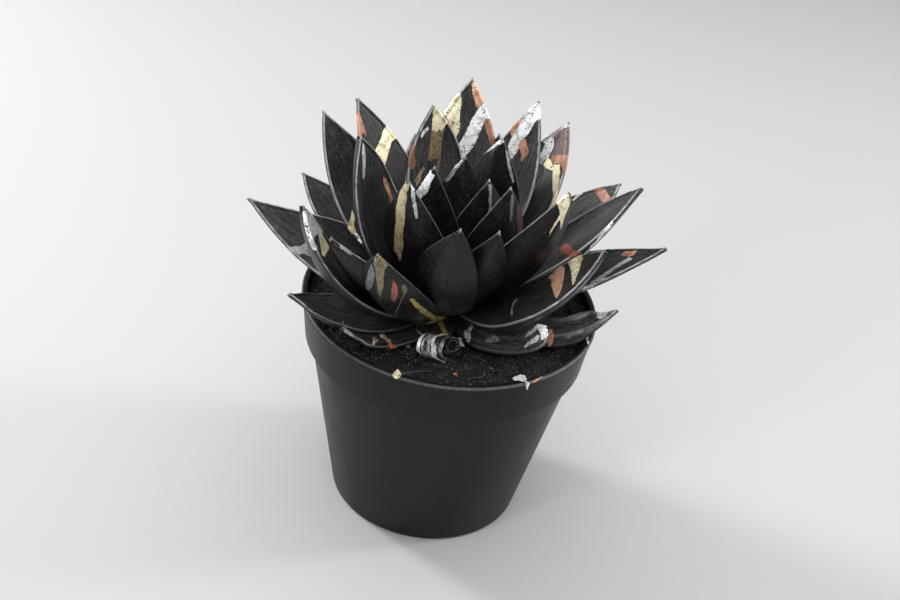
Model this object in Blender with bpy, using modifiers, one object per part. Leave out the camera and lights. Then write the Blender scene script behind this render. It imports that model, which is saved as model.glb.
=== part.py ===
# A potted echeveria: a nursery pot, its soil, and a rosette of pointed leaves in a golden-angle spiral.
# The script works in millimetres and turns each point into metres as it makes a mesh.
# Z points up, the origin is at the middle of the pot's flat bottom, and the pot's front is at -Y.

import math
import random

import bmesh
import bpy
from mathutils import Vector

MM = 0.001

# Pot
RIM_DIAMETER = 105.0
POT_HEIGHT = 84.0
COLLAR_HEIGHT = 17.0
COLLAR_DRAFT = 2.3  # how far the collar narrows from its top to its bottom
COLLAR_STEP = 2.0  # how far the body stands back under the collar
BASE_DIAMETER = 70.0
POT_WALL = 1.4
LIP_WIDTH = 2.2
LIP_HEIGHT = 1.6
LIP_OVERHANG = 0.5  # how far the lip stands out over the collar
LIP_ROUNDING = 0.6
FLOOR_THICKNESS = 2.0
BASE_ROUNDING = 2.5
ROUNDING_STEPS = 4
DRAIN_HOLES = 8
DRAIN_HOLE_DIAMETER = 7.0
DRAIN_CIRCLE_DIAMETER = 50.0
DRAIN_STEPS = 24
CUTTER_SPARE = 2.0  # how far a cutter reaches past what it cuts
POT_STEPS = 64
TURN_MERGE = 0.0001  # metres

# Soil
SOIL_LEVEL = 81.0  # at the wall
SOIL_CROWN = 0.3  # how much higher it is at the stem
FIT_GAP = 0.3
SOIL_STEPS = 48

# Stem: a short column with a domed top that the leaves stand on
STEM_RADIUS = 12.0
STEM_SHOULDER = 85.5  # where the column ends and the dome begins
STEM_TOP = 96.0
STEM_DEPTH = 22.0  # below the soil level
STEM_ROUNDING = 2.0  # at the foot
STEM_STEPS = 20
DOME_STEPS = 5

# Spiral of leaves, from the outermost inwards
SPIRAL_PLACES = 63
GOLDEN_ANGLE = 137.508
FIRST_TURN = 72.0
LOWEST_RISE = 8.0  # degrees above level
HIGHEST_RISE = 86.0
RISE_POWER = 0.8
TURN_JITTER = 3.0
RISE_JITTER = 2.0
LENGTH_JITTER = 2.0
LENGTH_AT_RISE = ((0, 48.0), (30, 57.0), (60, 56.0), (HIGHEST_RISE, 22.0))
SEED = 7

# Places that the photograph doesn't show hold a leaf only low at the back and in the bud
BUD_RISE = 77.0
BACK_RISE = 42.0
BACK_TURNS = (40.0, 140.0)

# Leaf
LEAF_BEND = 38.0  # degrees that it curves upwards from root to tip
LEAF_WIDTH = 24.0
FULL_LENGTH = 72.0  # a shorter leaf is narrower and thinner too
WIDTH_POWER = 0.6
WIDEST_AT = 0.45  # share of the length
ROOT_WIDTH = 0.62  # share of the full width
LEAF_POINT = 1.9  # a higher power makes a blunter tip
LEAF_THICKNESS = 4.6
THINNING = 0.75  # how much of the thickness is gone at the tip
THINNING_POWER = 1.5
EDGE_THICKNESS = 1.3
FLANK_AT = 0.55  # where the underside is measured, from its keel to its edge, as a share of the half width
FLANK_DEPTH = 0.76  # share of the depth that the underside still has there
TIP_THICKNESS = 0.8
CUP = 0.16  # how far the edges stand above the middle, as a share of the half width
OUTER_ROOT = (12.0, 86.5)  # distance from the axis and height where the outermost leaf leaves the stem
INNER_ROOT = (3.0, 95.0)
ROOT_POWER = 1.8
ROOT_SUNK = 5.0
LEAF_SECTIONS = 8
CREASE_ANGLE = 35.0  # shading stays sharp over edges steeper than this

BLACK_PLASTIC = {"colour": (0.012, 0.012, 0.013), "roughness": 0.42}
DARK_PEAT = {"colour": (0.018, 0.013, 0.010), "roughness": 0.95}
BLACK_LEAF = {"colour": (0.010, 0.010, 0.011), "roughness": 0.5}

# Leaves whose place the photograph shows, under their place in the spiral: turn and rise in degrees and
# length in millimetres. Turns run anticlockwise from +X as seen from above. Some leaves differ in more.
SHOWN = {
    1: (223, 14, 55, {"lean": -25, "bend": 52, "width": 24}),
    4: (266, 8, 35, {"bend": 51, "width": 16, "point": 4}),
    5: (37, 27, 66),
    6: (175, 19, 68),
    9: (237, 7, 40, {"lean": -25, "bend": 44, "width": 22, "point": 4}),
    10: (9, 23, 67),
    11: (155, 23, 60),
    15: (337, 15, 50, {"lean": 24, "bend": 57, "width": 23}),
    17: (246, 42, 66),
    18: (17, 38, 68),
    19: (155, 45, 71),
    20: (288, 9, 36, {"lean": 105, "bend": 12, "width": 14, "point": 3}),
    22: (221, 42, 76),
    25: (270, 51, 77),
    26: (52, 49, 66),
    28: (316, 44, 73),
    29: (94, 57, 70),
    30: (232, 40, 69),
    32: (143, 51, 69),
    33: (282, 51, 75),
    34: (63, 58, 67),
    35: (219, 61, 78, {"width": 26}),
    38: (248, 58, 76),
    41: (314, 58, 74),
    45: (124, 70, 59),
    46: (299, 68, 59),
    51: (242, 72, 58),
    53: (127, 67, 55),
    54: (291, 75, 53),
    59: (261, 82, 54),
    62: (332, 83, 59),
}


def polar(radius, angle, height):
    return Vector((radius * math.cos(angle), radius * math.sin(angle), height))


def mix(first, last, share):
    return first + (last - first) * share


def material(name, colour, roughness):
    made = bpy.data.materials.new(name)
    made.use_nodes = True
    shader = made.node_tree.nodes["Principled BSDF"]
    shader.inputs["Base Color"].default_value = (*colour, 1.0)
    shader.inputs["Roughness"].default_value = roughness
    return made


def collection(name):
    made = bpy.data.collections.new(name)
    bpy.context.scene.collection.children.link(made)
    return made


def add_object(name, mesh, into):
    made = bpy.data.objects.new(name, mesh)
    into.objects.link(made)
    return made


def mesh_of(name, points, edges=(), faces=()):
    mesh = bpy.data.meshes.new(name)
    mesh.from_pydata([Vector(point) * MM for point in points], edges, faces)
    return mesh


def turned(name, profile, steps, into):
    """A solid turned round the Z axis from a profile of (radius, height) that runs down its outer side."""
    points = [(radius, 0.0, height) for radius, height in profile]
    edges = [(i, i + 1) for i in range(len(points) - 1)]
    if profile[0][0] > 0:
        edges.append((len(points) - 1, 0))
    made = add_object(name, mesh_of(name, points, edges), into)
    screw = made.modifiers.new("Turn", "SCREW")
    screw.steps = steps
    screw.render_steps = steps
    screw.use_merge_vertices = True
    screw.merge_threshold = TURN_MERGE
    return made


def round_corner(corner, before, after, radius):
    """The points of an arc that rounds a profile's corner between its two neighbours."""
    corner = Vector(corner)
    to_before = (Vector(before) - corner).normalized()
    to_after = (Vector(after) - corner).normalized()
    reach = radius / math.tan(to_before.angle(to_after) / 2)
    start = corner + to_before * reach
    end = corner + to_after * reach
    points = []
    for i in range(ROUNDING_STEPS + 1):
        share = i / ROUNDING_STEPS
        points.append(tuple(mix(mix(start, corner, share), mix(corner, end, share), share)))
    return points


def pot_inside():
    """The points of the pot's inner side, from the middle of its floor up to the lip."""
    collar_foot = POT_HEIGHT - COLLAR_HEIGHT
    collar_radius = RIM_DIAMETER / 2 - COLLAR_DRAFT
    return [
        (0, FLOOR_THICKNESS),
        (BASE_DIAMETER / 2 - POT_WALL, FLOOR_THICKNESS),
        (collar_radius - COLLAR_STEP - POT_WALL, collar_foot),
        (collar_radius - POT_WALL, collar_foot + COLLAR_STEP),
        (RIM_DIAMETER / 2 - LIP_WIDTH, POT_HEIGHT - LIP_HEIGHT),
    ]


def pot_profile():
    """The pot's section: up its inner side, over the lip, down the outside and in along the bottom."""
    rim = RIM_DIAMETER / 2
    collar_foot = POT_HEIGHT - COLLAR_HEIGHT
    collar_radius = rim - COLLAR_DRAFT
    body_top = collar_radius - COLLAR_STEP
    base = BASE_DIAMETER / 2
    under_lip = POT_HEIGHT - LIP_HEIGHT
    return [
        *pot_inside(),
        (rim - LIP_WIDTH, POT_HEIGHT - LIP_ROUNDING),
        (rim - LIP_WIDTH + LIP_ROUNDING, POT_HEIGHT),
        (rim - LIP_ROUNDING, POT_HEIGHT),
        (rim, POT_HEIGHT - LIP_ROUNDING),
        (rim, under_lip),
        (rim - LIP_OVERHANG, under_lip - LIP_OVERHANG),
        (collar_radius, collar_foot),
        (body_top, collar_foot),
        *round_corner((base, 0), (body_top, collar_foot), (0, 0), BASE_ROUNDING),
        (0, 0),
    ]


def cylinder(name, radius, bottom, top, centre, into):
    mesh = bpy.data.meshes.new(name)
    shape = bmesh.new()
    bmesh.ops.create_cone(
        shape,
        cap_ends=True,
        segments=DRAIN_STEPS,
        radius1=radius * MM,
        radius2=radius * MM,
        depth=(top - bottom) * MM,
    )
    bmesh.ops.translate(shape, verts=shape.verts, vec=Vector((*centre, (bottom + top) / 2)) * MM)
    shape.to_mesh(mesh)
    shape.free()
    made = add_object(name, mesh, into)
    made.hide_render = True
    made.display_type = "WIRE"
    return made


def cut(target, cutters, name):
    joined = target.modifiers.new(name, "BOOLEAN")
    joined.operation = "DIFFERENCE"
    joined.solver = "EXACT"
    joined.operand_type = "COLLECTION"
    joined.collection = cutters


def make_pot(into):
    pot = turned("pot", pot_profile(), POT_STEPS, into)
    drains = collection("drain_cutters")
    drains.hide_render = True
    for i in range(DRAIN_HOLES):
        place = polar(DRAIN_CIRCLE_DIAMETER / 2, math.tau * i / DRAIN_HOLES, 0).xy
        top = FLOOR_THICKNESS + CUTTER_SPARE
        cylinder(f"drain_{i}", DRAIN_HOLE_DIAMETER / 2, -CUTTER_SPARE, top, place, drains)
    cut(pot, drains, "Drain holes")
    pot.data.materials.append(material("black_plastic", **BLACK_PLASTIC))
    return pot


def soil_profile():
    """The soil fills the pot with a small gap to its wall, and has a plain hole where the stem stands."""
    floor, foot, shoulder, collar, lip = pot_inside()
    share = (SOIL_LEVEL - collar[1]) / (lip[1] - collar[1])
    hole = STEM_RADIUS + FIT_GAP
    hole_floor = SOIL_LEVEL - STEM_DEPTH
    return [
        (0, hole_floor),
        (hole, hole_floor),
        (hole, SOIL_LEVEL + SOIL_CROWN),
        (mix(collar[0], lip[0], share) - FIT_GAP, SOIL_LEVEL),
        (collar[0] - FIT_GAP, collar[1] + FIT_GAP),
        (shoulder[0] - FIT_GAP, shoulder[1] + FIT_GAP),
        (foot[0] - FIT_GAP, foot[1] + FIT_GAP),
        (0, floor[1] + FIT_GAP),
    ]


def make_soil(into):
    soil = turned("soil", soil_profile(), SOIL_STEPS, into)
    soil.data.materials.append(material("dark_peat", **DARK_PEAT))
    return soil


def leaf_at(turn, rise, length, changes=None):
    """A leaf's measures from its direction in degrees and its length."""
    root_share = min(max((rise - LOWEST_RISE) / (HIGHEST_RISE - LOWEST_RISE), 0.0), 1.0) ** ROOT_POWER
    size = min(1.0, length / FULL_LENGTH) ** WIDTH_POWER
    leaf = {
        "turn": turn,
        "rise": rise,
        "lean": 0.0,
        "bend": LEAF_BEND,
        "length": length,
        "width": LEAF_WIDTH * size,
        "thickness": LEAF_THICKNESS * size,
        "point": LEAF_POINT,
        "root_radius": mix(OUTER_ROOT[0], INNER_ROOT[0], root_share),
        "root_height": mix(OUTER_ROOT[1], INNER_ROOT[1], root_share),
    }
    leaf.update(changes or {})
    return leaf


def usual_length(rise):
    """The length of a leaf that the photograph doesn't show: less in the bud, where the leaves are young."""
    for (low, before), (high, after) in zip(LENGTH_AT_RISE, LENGTH_AT_RISE[1:]):
        if rise <= high:
            break
    return mix(before, after, (rise - low) / (high - low))


def stands(turn, rise):
    """Whether a place that the photograph doesn't show holds a leaf."""
    low_at_back = rise < BACK_RISE and BACK_TURNS[0] < turn % 360 < BACK_TURNS[1]
    return rise > BUD_RISE or low_at_back


def leaf_plan():
    """The leaves of the spiral, from the outermost inwards."""
    drawn = random.Random(SEED)
    plan = []
    for place in range(SPIRAL_PLACES):
        rise = mix(LOWEST_RISE, HIGHEST_RISE, (place / (SPIRAL_PLACES - 1)) ** RISE_POWER)
        turn = FIRST_TURN + GOLDEN_ANGLE * place + drawn.uniform(-TURN_JITTER, TURN_JITTER)
        length = usual_length(rise) + drawn.uniform(-LENGTH_JITTER, LENGTH_JITTER)
        rise += drawn.uniform(-RISE_JITTER, RISE_JITTER)
        if place in SHOWN:
            plan.append(leaf_at(*SHOWN[place]))
        elif stands(turn, rise):
            plan.append(leaf_at(turn, rise, length))
    return plan


def half_width(leaf, share):
    """A leaf's half width at a share of its length: broad in the middle with a pointed tip."""
    if share < WIDEST_AT:
        shape = mix(ROOT_WIDTH, 1.0, math.sin(math.pi / 2 * share / WIDEST_AT))
    else:
        shape = 1 - ((share - WIDEST_AT) / (1 - WIDEST_AT)) ** leaf["point"]
    return max(leaf["width"] / 2 * shape, TIP_THICKNESS / 2)


def leaf_section(leaf, share):
    """The eight points of a leaf's section across and through it, in its own axes."""
    half = half_width(leaf, share)
    thick = max(leaf["thickness"] * (1 - THINNING * share**THINNING_POWER), TIP_THICKNESS)
    cup = CUP * half
    under_edge = cup - min(EDGE_THICKNESS, thick)
    flank = mix(under_edge, -thick, FLANK_DEPTH)
    return [
        (-half, cup),
        (0, 0),
        (half, cup),
        (half, under_edge),
        (half * FLANK_AT, flank),
        (0, -thick),
        (-half * FLANK_AT, flank),
        (-half, under_edge),
    ]


def leaf_rings(leaf):
    """The leaf's sections along a midline that starts inside the stem, bends upwards and may lean."""
    bend = math.radians(leaf["bend"])
    lean = math.radians(leaf["lean"])
    turn = math.radians(leaf["turn"])
    spans = LEAF_SECTIONS - 1
    first_rise = math.radians(leaf["rise"]) - bend / 2

    def direction(share):
        rise = first_rise + bend * share
        heading = turn + lean * share
        return polar(math.cos(rise), heading, math.sin(rise))

    place = polar(leaf["root_radius"], turn, leaf["root_height"])
    stations = [(0, place - direction(0) * ROOT_SUNK)]
    for i in range(LEAF_SECTIONS):
        stations.append((i / spans, place))
        place = place + direction((i + 0.5) / spans) * (leaf["length"] / spans)
    rings = []
    for share, place in stations:
        along = direction(share)
        sideways = polar(1, turn + lean * share + math.pi / 2, 0)
        face = along.cross(sideways)
        section = leaf_section(leaf, share)
        rings.append([place + sideways * across + face * through for across, through in section])
    return rings


def loft(name, rings):
    """A closed mesh through rings of equally many points."""
    count = len(rings[0])
    points = [point for ring in rings for point in ring]
    faces = []
    for i in range(len(rings) - 1):
        for j in range(count):
            a = i * count + j
            b = i * count + (j + 1) % count
            faces.append((a, a + count, b + count, b))
    faces.append(tuple(range(count)))
    faces.append(tuple(reversed(range(len(points) - count, len(points)))))
    return mesh_of(name, points, (), faces)


def stem_profile():
    bottom = SOIL_LEVEL - STEM_DEPTH + FIT_GAP
    dome = []
    for i in range(DOME_STEPS + 1):
        angle = math.pi / 2 * i / DOME_STEPS
        height = mix(STEM_SHOULDER, STEM_TOP, math.cos(angle))
        dome.append((STEM_RADIUS * math.sin(angle), height))
    return [
        *dome,
        (STEM_RADIUS, bottom + STEM_ROUNDING),
        (STEM_RADIUS - STEM_ROUNDING, bottom),
        (0, bottom),
    ]


def make_rosette(into):
    """The stem and its leaves, joined into one body."""
    stem = turned("stem", stem_profile(), STEM_STEPS, into)
    leaves = collection("leaves_to_join")
    for leaf in leaf_plan():
        add_object("leaf", loft("leaf", leaf_rings(leaf)), leaves)
    joined = stem.modifiers.new("Leaves", "BOOLEAN")
    joined.operation = "UNION"
    joined.solver = "MANIFOLD"
    joined.operand_type = "COLLECTION"
    joined.collection = leaves
    bpy.context.view_layer.update()
    graph = bpy.context.evaluated_depsgraph_get()
    mesh = bpy.data.meshes.new_from_object(stem.evaluated_get(graph))
    mesh.name = "rosette"
    rosette = add_object("rosette", mesh, into)
    for leaf in list(leaves.objects):
        bpy.data.objects.remove(leaf)
    bpy.data.objects.remove(stem)
    bpy.data.collections.remove(leaves)
    mesh.materials.clear()
    mesh.materials.append(material("black_leaf", **BLACK_LEAF))
    return rosette


def smooth(part):
    part.data.shade_smooth()
    part.data.set_sharp_from_angle(angle=math.radians(CREASE_ANGLE))


def main():
    for old in list(bpy.data.objects):
        bpy.data.objects.remove(old)
    parts = collection("potted_echeveria")
    for part in (make_pot(parts), make_soil(parts), make_rosette(parts)):
        smooth(part)


main()
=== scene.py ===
# Potted echeveria: the looks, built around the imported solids. Sizes are in millimetres until a mesh is made.
import math
import random

import bmesh
import bpy
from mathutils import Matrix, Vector, noise


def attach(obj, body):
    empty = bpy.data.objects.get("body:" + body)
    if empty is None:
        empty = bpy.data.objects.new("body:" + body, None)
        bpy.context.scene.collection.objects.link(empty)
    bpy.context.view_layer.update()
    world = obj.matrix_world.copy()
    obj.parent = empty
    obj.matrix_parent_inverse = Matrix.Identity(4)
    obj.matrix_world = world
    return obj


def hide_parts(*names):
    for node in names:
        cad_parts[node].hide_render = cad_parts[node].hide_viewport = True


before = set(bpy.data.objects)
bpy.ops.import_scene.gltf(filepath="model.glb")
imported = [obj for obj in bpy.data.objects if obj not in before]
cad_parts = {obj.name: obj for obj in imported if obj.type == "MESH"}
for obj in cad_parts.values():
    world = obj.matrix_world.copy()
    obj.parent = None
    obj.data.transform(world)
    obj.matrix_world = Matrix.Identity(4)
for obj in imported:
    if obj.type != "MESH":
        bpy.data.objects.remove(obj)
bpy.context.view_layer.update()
mm = 0.001
up = Vector((0, 0, 1))


def mix(first, last, share):
    return first + (last - first) * share


def clamp(value, low=0.0, high=1.0):
    return min(max(value, low), high)


def smoothStep(low, high, value):
    share = clamp((value - low) / (high - low))
    return share * share * (3 - 2 * share)


def polar(radius, angle, height):
    return Vector((radius * math.cos(angle), radius * math.sin(angle), height))


# Materials

def newMaterial(name, **shaderValues):
    made = bpy.data.materials.new(name)
    made.use_nodes = True
    shader = made.node_tree.nodes["Principled BSDF"]
    for key, value in shaderValues.items():
        shader.inputs[key.replace("_", " ")].default_value = value
    return made


def addNode(made, kind, values=None, **settings):
    node = made.node_tree.nodes.new(kind)
    for key, value in settings.items():
        setattr(node, key, value)
    for key, value in (values or {}).items():
        node.inputs[key].default_value = value
    return node


def wire(made, output, target):
    made.node_tree.links.new(output, target)


def objectCoordinates(made, scale=(1, 1, 1), shift=(0, 0, 0)):
    # millimetre coordinates of the piece, times the scale along each axis
    source = addNode(made, "ShaderNodeTexCoord")
    values = {"Scale": tuple(value / mm for value in scale), "Location": shift}
    mapping = addNode(made, "ShaderNodeMapping", values)
    wire(made, source.outputs["Object"], mapping.inputs["Vector"])
    return mapping.outputs["Vector"]


def attributeCoordinates(made, attribute, scale):
    source = addNode(made, "ShaderNodeAttribute", attribute_name=attribute)
    mapping = addNode(made, "ShaderNodeMapping", {"Scale": scale})
    wire(made, source.outputs["Vector"], mapping.inputs["Vector"])
    return mapping.outputs["Vector"]


def noiseOn(made, vector, scale, detail=3.0, roughness=0.55):
    node = addNode(made, "ShaderNodeTexNoise", {"Scale": scale, "Detail": detail, "Roughness": roughness})
    wire(made, vector, node.inputs["Vector"])
    return node.outputs["Fac"]


def rangeOf(made, value, low, high, toLow=0.0, toHigh=1.0):
    limits = {"From Min": low, "From Max": high, "To Min": toLow, "To Max": toHigh}
    node = addNode(made, "ShaderNodeMapRange", limits)
    wire(made, value, node.inputs["Value"])
    return node.outputs["Result"]


def maths(made, operation, first, second):
    node = addNode(made, "ShaderNodeMath", operation=operation)
    for socket, value in zip(node.inputs, (first, second)):
        if isinstance(value, (int, float)):
            socket.default_value = value
        else:
            wire(made, value, socket)
    return node.outputs[0]


def times(made, first, second):
    return maths(made, "MULTIPLY", first, second)


def attributeOf(made, name):
    return addNode(made, "ShaderNodeAttribute", attribute_name=name).outputs["Fac"]


def lengthOf(made, vector):
    node = addNode(made, "ShaderNodeVectorMath", operation="LENGTH")
    wire(made, vector, node.inputs[0])
    return node.outputs["Value"]


def blendColours(made, share, first, second):
    node = addNode(made, "ShaderNodeMix", data_type="RGBA")
    wire(made, share, node.inputs["Factor"])
    for socket, value in ((node.inputs[6], first), (node.inputs[7], second)):
        if isinstance(value, tuple):
            socket.default_value = (*value, 1.0)
        else:
            wire(made, value, socket)
    return node.outputs[2]


def bumpOn(made, height, distance, strength=1.0, before=None):
    node = addNode(made, "ShaderNodeBump", {"Strength": strength, "Distance": distance * mm})
    wire(made, height, node.inputs["Height"])
    if before:
        wire(made, before, node.inputs["Normal"])
    return node.outputs["Normal"]


def dress(made, **sockets):
    shader = made.node_tree.nodes["Principled BSDF"]
    for key, value in sockets.items():
        wire(made, value, shader.inputs[key.replace("_", " ")])


# Pieces

def addObject(name, data):
    added = bpy.data.objects.new(name, data)
    bpy.context.scene.collection.objects.link(added)
    return added


def finishPiece(name, shape, made, replaced=(), smoothAngle=None):
    bmesh.ops.scale(shape, vec=(mm, mm, mm), verts=shape.verts)
    mesh = bpy.data.meshes.new(name)
    shape.to_mesh(mesh)
    shape.free()
    piece = addObject(name, mesh)
    mesh.shade_smooth()
    if smoothAngle:
        mesh.set_sharp_from_angle(angle=math.radians(smoothAngle))
    mesh.materials.append(made)
    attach(piece, "root")
    if replaced:
        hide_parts(*replaced)
    return piece


# Leaves. Turn and rise are in degrees, the rest in millimetres; a turn runs anticlockwise from +X.

leafForm = {
    "bend": 38.0,  # how far a leaf curves upwards from root to tip
    "width": 26.0,
    "fullLength": 72.0,
    "widthPower": 0.6,
    "thickness": 6.0,
    "thinning": 0.74,
    "thinningPower": 2.0,
    "edge": 1.05,
    "tip": 0.5,
    "cup": 0.16,
    "cupPower": 1.6,
    "widestAt": 0.45,
    "rootWidth": 0.62,
    "point": 2.0,
    "underPower": (2.4, 1.35),  # rounded below near the root, keeled near the tip
    "outerRoot": (12.0, 86.5),
    "innerRoot": (3.0, 95.0),
    "riseRange": (8.0, 86.0),
    "rootPower": 1.8,
    "sunk": 5.0,
    "acrossSteps": 36,
    "alongSteps": 44,
    "bead": (0.16, 1.1),  # height and reach of the raised margin above the rim
    "outerCount": 22,  # so many rows from the start make the outer piece
}
stemForm = {"low": 59.5, "top": 85.5, "dome": 10.5, "sides": 40, "rings": 16}
oldLeaf = {"old": 1.0}
leafRows = {
    "backLow1": (70.9, 8.6, 49.0, oldLeaf),
    "leftLow": (223, 14, 55, {"lean": -25, "bend": 52, "width": 24, "old": 0.7}),
    "backLow2": (124.1, 13.3, 50.8, oldLeaf),
    "frontStub": (262, 6, 23, {"bend": 20, "width": 13, "point": 4, "old": 1.0}),
    "rightBack": (39.7, 28.8, 65.3, {"lean": -10, "bend": 28, "twist": 4, "width": 24.7, "point": 2.3}),
    "leftFar": (178, 22.7, 68, {"lean": 6, "bend": 31, "twist": -23, "width": 26.1, "point": 1.4}),
    "backLow3": (89.9, 22.4, 53.4),
    "leftFrontLow": (237, 7, 40, {"lean": -25, "bend": 44, "width": 19, "thickness": 7,
                                  "point": 5, "cup": -0.1, "old": 0.7}),
    "rightFar": (11.2, 23.2, 66.5, {"lean": -12, "bend": 24, "twist": -1, "width": 25.3, "point": 1.7}),
    "leftBack": (154.3, 22.9, 59.6, {"lean": 1, "bend": 36, "twist": -7, "width": 23.6, "point": 2.1}),
    "back4": (60.1, 29.6, 56.8),
    "rightLow": (331, 14.3, 53, {"lean": 40, "bend": 74, "width": 16, "point": 3, "old": 2.4}),
    "back5": (113.5, 36.3, 56.0),
    "frontLeft": (246.4, 41.8, 67.2, {"lean": -2, "bend": 57, "twist": 7, "width": 25.5, "point": 2.5}),
    "right": (13.6, 42.2, 68.3, {"lean": -9, "bend": 36, "twist": -6, "width": 25.7, "point": 2.4}),
    "leftTall": (155.2, 45.4, 69.9, {"lean": 3, "bend": 34, "twist": -21, "width": 27.0, "point": 1.7}),
    "frontSide": (291, 8.5, 36, {"lean": 106, "bend": 16, "width": 15.5, "thickness": 9, "point": 7,
                                 "cup": -0.35, "old": 1.0}),
    "back6": (80.2, 40.6, 57.0),
    "leftEdgeOn": (227.3, 41.3, 74.8, {"lean": -34, "bend": 75, "twist": -8, "width": 26.6, "point": 3.0}),
    "frontMiddle": (260.4, 50.4, 75.6, {"lean": 27.7, "bend": 46.8, "twist": -24.5, "width": 22.7,
                                        "point": 2.5}),
    "rightTall": (53.3, 49.1, 66.5, {"lean": -4, "bend": 32, "twist": 0, "width": 24.9, "point": 2.2}),
    "frontRight": (306.7, 43.1, 71.3, {"lean": 36, "bend": 50, "twist": 18, "width": 26.6, "point": 2.9}),
    "backTallest": (96.6, 57, 70.2, {"lean": -5, "bend": 37, "twist": -2, "width": 26.7, "point": 2.2}),
    "leftNarrow": (236, 40, 69, {"lean": -13, "bend": 34, "twist": 18, "width": 24.5, "point": 1.7}),
    "leftUpper": (141.7, 51.8, 67.7, {"lean": 12, "bend": 20, "twist": 2, "width": 25.9, "point": 2.3}),
    "frontMiddleRight": (280.2, 51.1, 73.4, {"lean": 5.7, "bend": 24.3, "twist": -6.1, "width": 19.6,
                                             "point": 1.7}),
    "rightUpper": (63.4, 58, 67.3, {"lean": -4, "bend": 35, "twist": -9, "width": 24.7, "point": 1.9}),
    "innerLeft": (215.6, 61.4, 75.8, {"lean": -2, "bend": 48, "twist": -48, "width": 29.3, "point": 3.0}),
    "innerFront": (248, 58, 76),
    "innerRight": (311.4, 58.1, 73.9, {"lean": 3, "bend": 32, "twist": -10, "width": 25.5, "point": 1.8}),
    "budBack": (123.6, 69.4, 59.1, {"lean": 4, "bend": 30, "twist": 2, "width": 24.7, "point": 2.6}),
    "budRight": (299, 68, 59),
    "budLeft": (242, 72, 58),
    "budBackLeft": (127, 67, 55),
    "budFrontRight": (291, 75, 53),
    "heart1": (76.6, 80.0, 31.5),
    "heart2": (211.4, 81.1, 28.9),
    "heart3": (352.9, 82.2, 30.0),
    "heart4": (129.4, 80.9, 28.3),
    "budFront": (261, 82, 54),
    "heart5": (39.6, 83.0, 23.8),
    "heart6": (181.1, 84.8, 25.1),
    "budTip": (314.8, 80.7, 62.2, {"lean": -16, "bend": 13, "twist": -54, "width": 23.7, "point": 2.0}),
}


def leafAt(number, turn, rise, length, changes=None):
    low, high = leafForm["riseRange"]
    rootShare = clamp((rise - low) / (high - low)) ** leafForm["rootPower"]
    size = min(1.0, length / leafForm["fullLength"]) ** leafForm["widthPower"]
    leaf = {
        "seed": number,
        "turn": turn,
        "rise": rise,
        "lean": 0.0,  # turns the leaf's heading on its way to the tip
        "twist": 0.0,  # rolls the leaf about its own length
        "bend": leafForm["bend"],
        "length": length,
        "width": leafForm["width"] * size,
        "thickness": leafForm["thickness"] * size,
        "point": leafForm["point"],
        "cup": leafForm["cup"],
        "old": 0.0,
    }
    leaf.update(changes or {})
    turnAngle = math.radians(leaf["turn"])
    bend = math.radians(leaf["bend"])
    lean = math.radians(leaf["lean"])
    firstRise = math.radians(leaf["rise"]) - bend / 2
    root = polar(mix(leafForm["outerRoot"][0], leafForm["innerRoot"][0], rootShare), turnAngle,
                 mix(leafForm["outerRoot"][1], leafForm["innerRoot"][1], rootShare))

    def direction(share):
        angle = firstRise + bend * share
        return polar(math.cos(angle), turnAngle + lean * share, math.sin(angle))

    def sideways(share):
        level = polar(1, turnAngle + lean * share + math.pi / 2, 0)
        roll = math.radians(leaf["twist"]) * smoothStep(0.0, 0.4, share)
        return level * math.cos(roll) + direction(share).cross(level) * math.sin(roll)

    steps = 64
    path = [root]
    for i in range(steps):
        path.append(path[-1] + direction((i + 0.5) / steps) * (leaf["length"] / steps))

    def place(share):
        if share <= 0:
            return root + direction(0) * share * leaf["length"]
        i = min(int(share * steps), steps - 1)
        return path[i].lerp(path[i + 1], share * steps - i)

    leaf["direction"] = direction
    leaf["sideways"] = sideways
    leaf["place"] = place
    leaf["stations"] = {}
    return leaf


def halfWidth(leaf, share):
    share = max(share, 0.0)
    if share < leafForm["widestAt"]:
        shape = mix(leafForm["rootWidth"], 1.0, math.sin(math.pi / 2 * share / leafForm["widestAt"]))
    else:
        shape = 1 - ((share - leafForm["widestAt"]) / (1 - leafForm["widestAt"])) ** leaf["point"]
    return max(leaf["width"] / 2 * shape, leafForm["tip"] / 2)


def stationAt(leaf, share):
    # what every point of one section shares: measures across and through, and its place and axes
    known = leaf["stations"].get(share)
    if known:
        return known
    half = halfWidth(leaf, share)
    thinned = 1 - leafForm["thinning"] * max(share, 0.0) ** leafForm["thinningPower"]
    thick = max(leaf["thickness"] * thinned, leafForm["tip"])
    rim = min(leafForm["edge"] / 2, thick / 2, half * 0.5)
    flat = half - rim
    cup = leaf["cup"] * half
    edgeTop = cup * (flat / half) ** leafForm["cupPower"]
    sideways = leaf["sideways"](share)
    face = leaf["direction"](share).cross(sideways)
    known = (half, thick, rim, flat, cup, edgeTop, leaf["place"](share), sideways, face)
    leaf["stations"][share] = known
    return known


def wrinkle(leaf, across, share):
    # shallow hollows on every leaf, and lengthwise folds on the old ones
    shift = leaf["seed"] * 7.31
    along = share * leaf["length"]
    height = 0.35 * noise.noise(Vector((across * 0.09 + shift, along * 0.05, shift)))
    if leaf["old"]:
        height += 0.9 * leaf["old"] * noise.noise(Vector((across * 0.45 + shift, along * 0.035, 4.0 + shift)))
    return height * smoothStep(0.0, 0.2, share) * smoothStep(1.0, 0.9, share)


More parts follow.
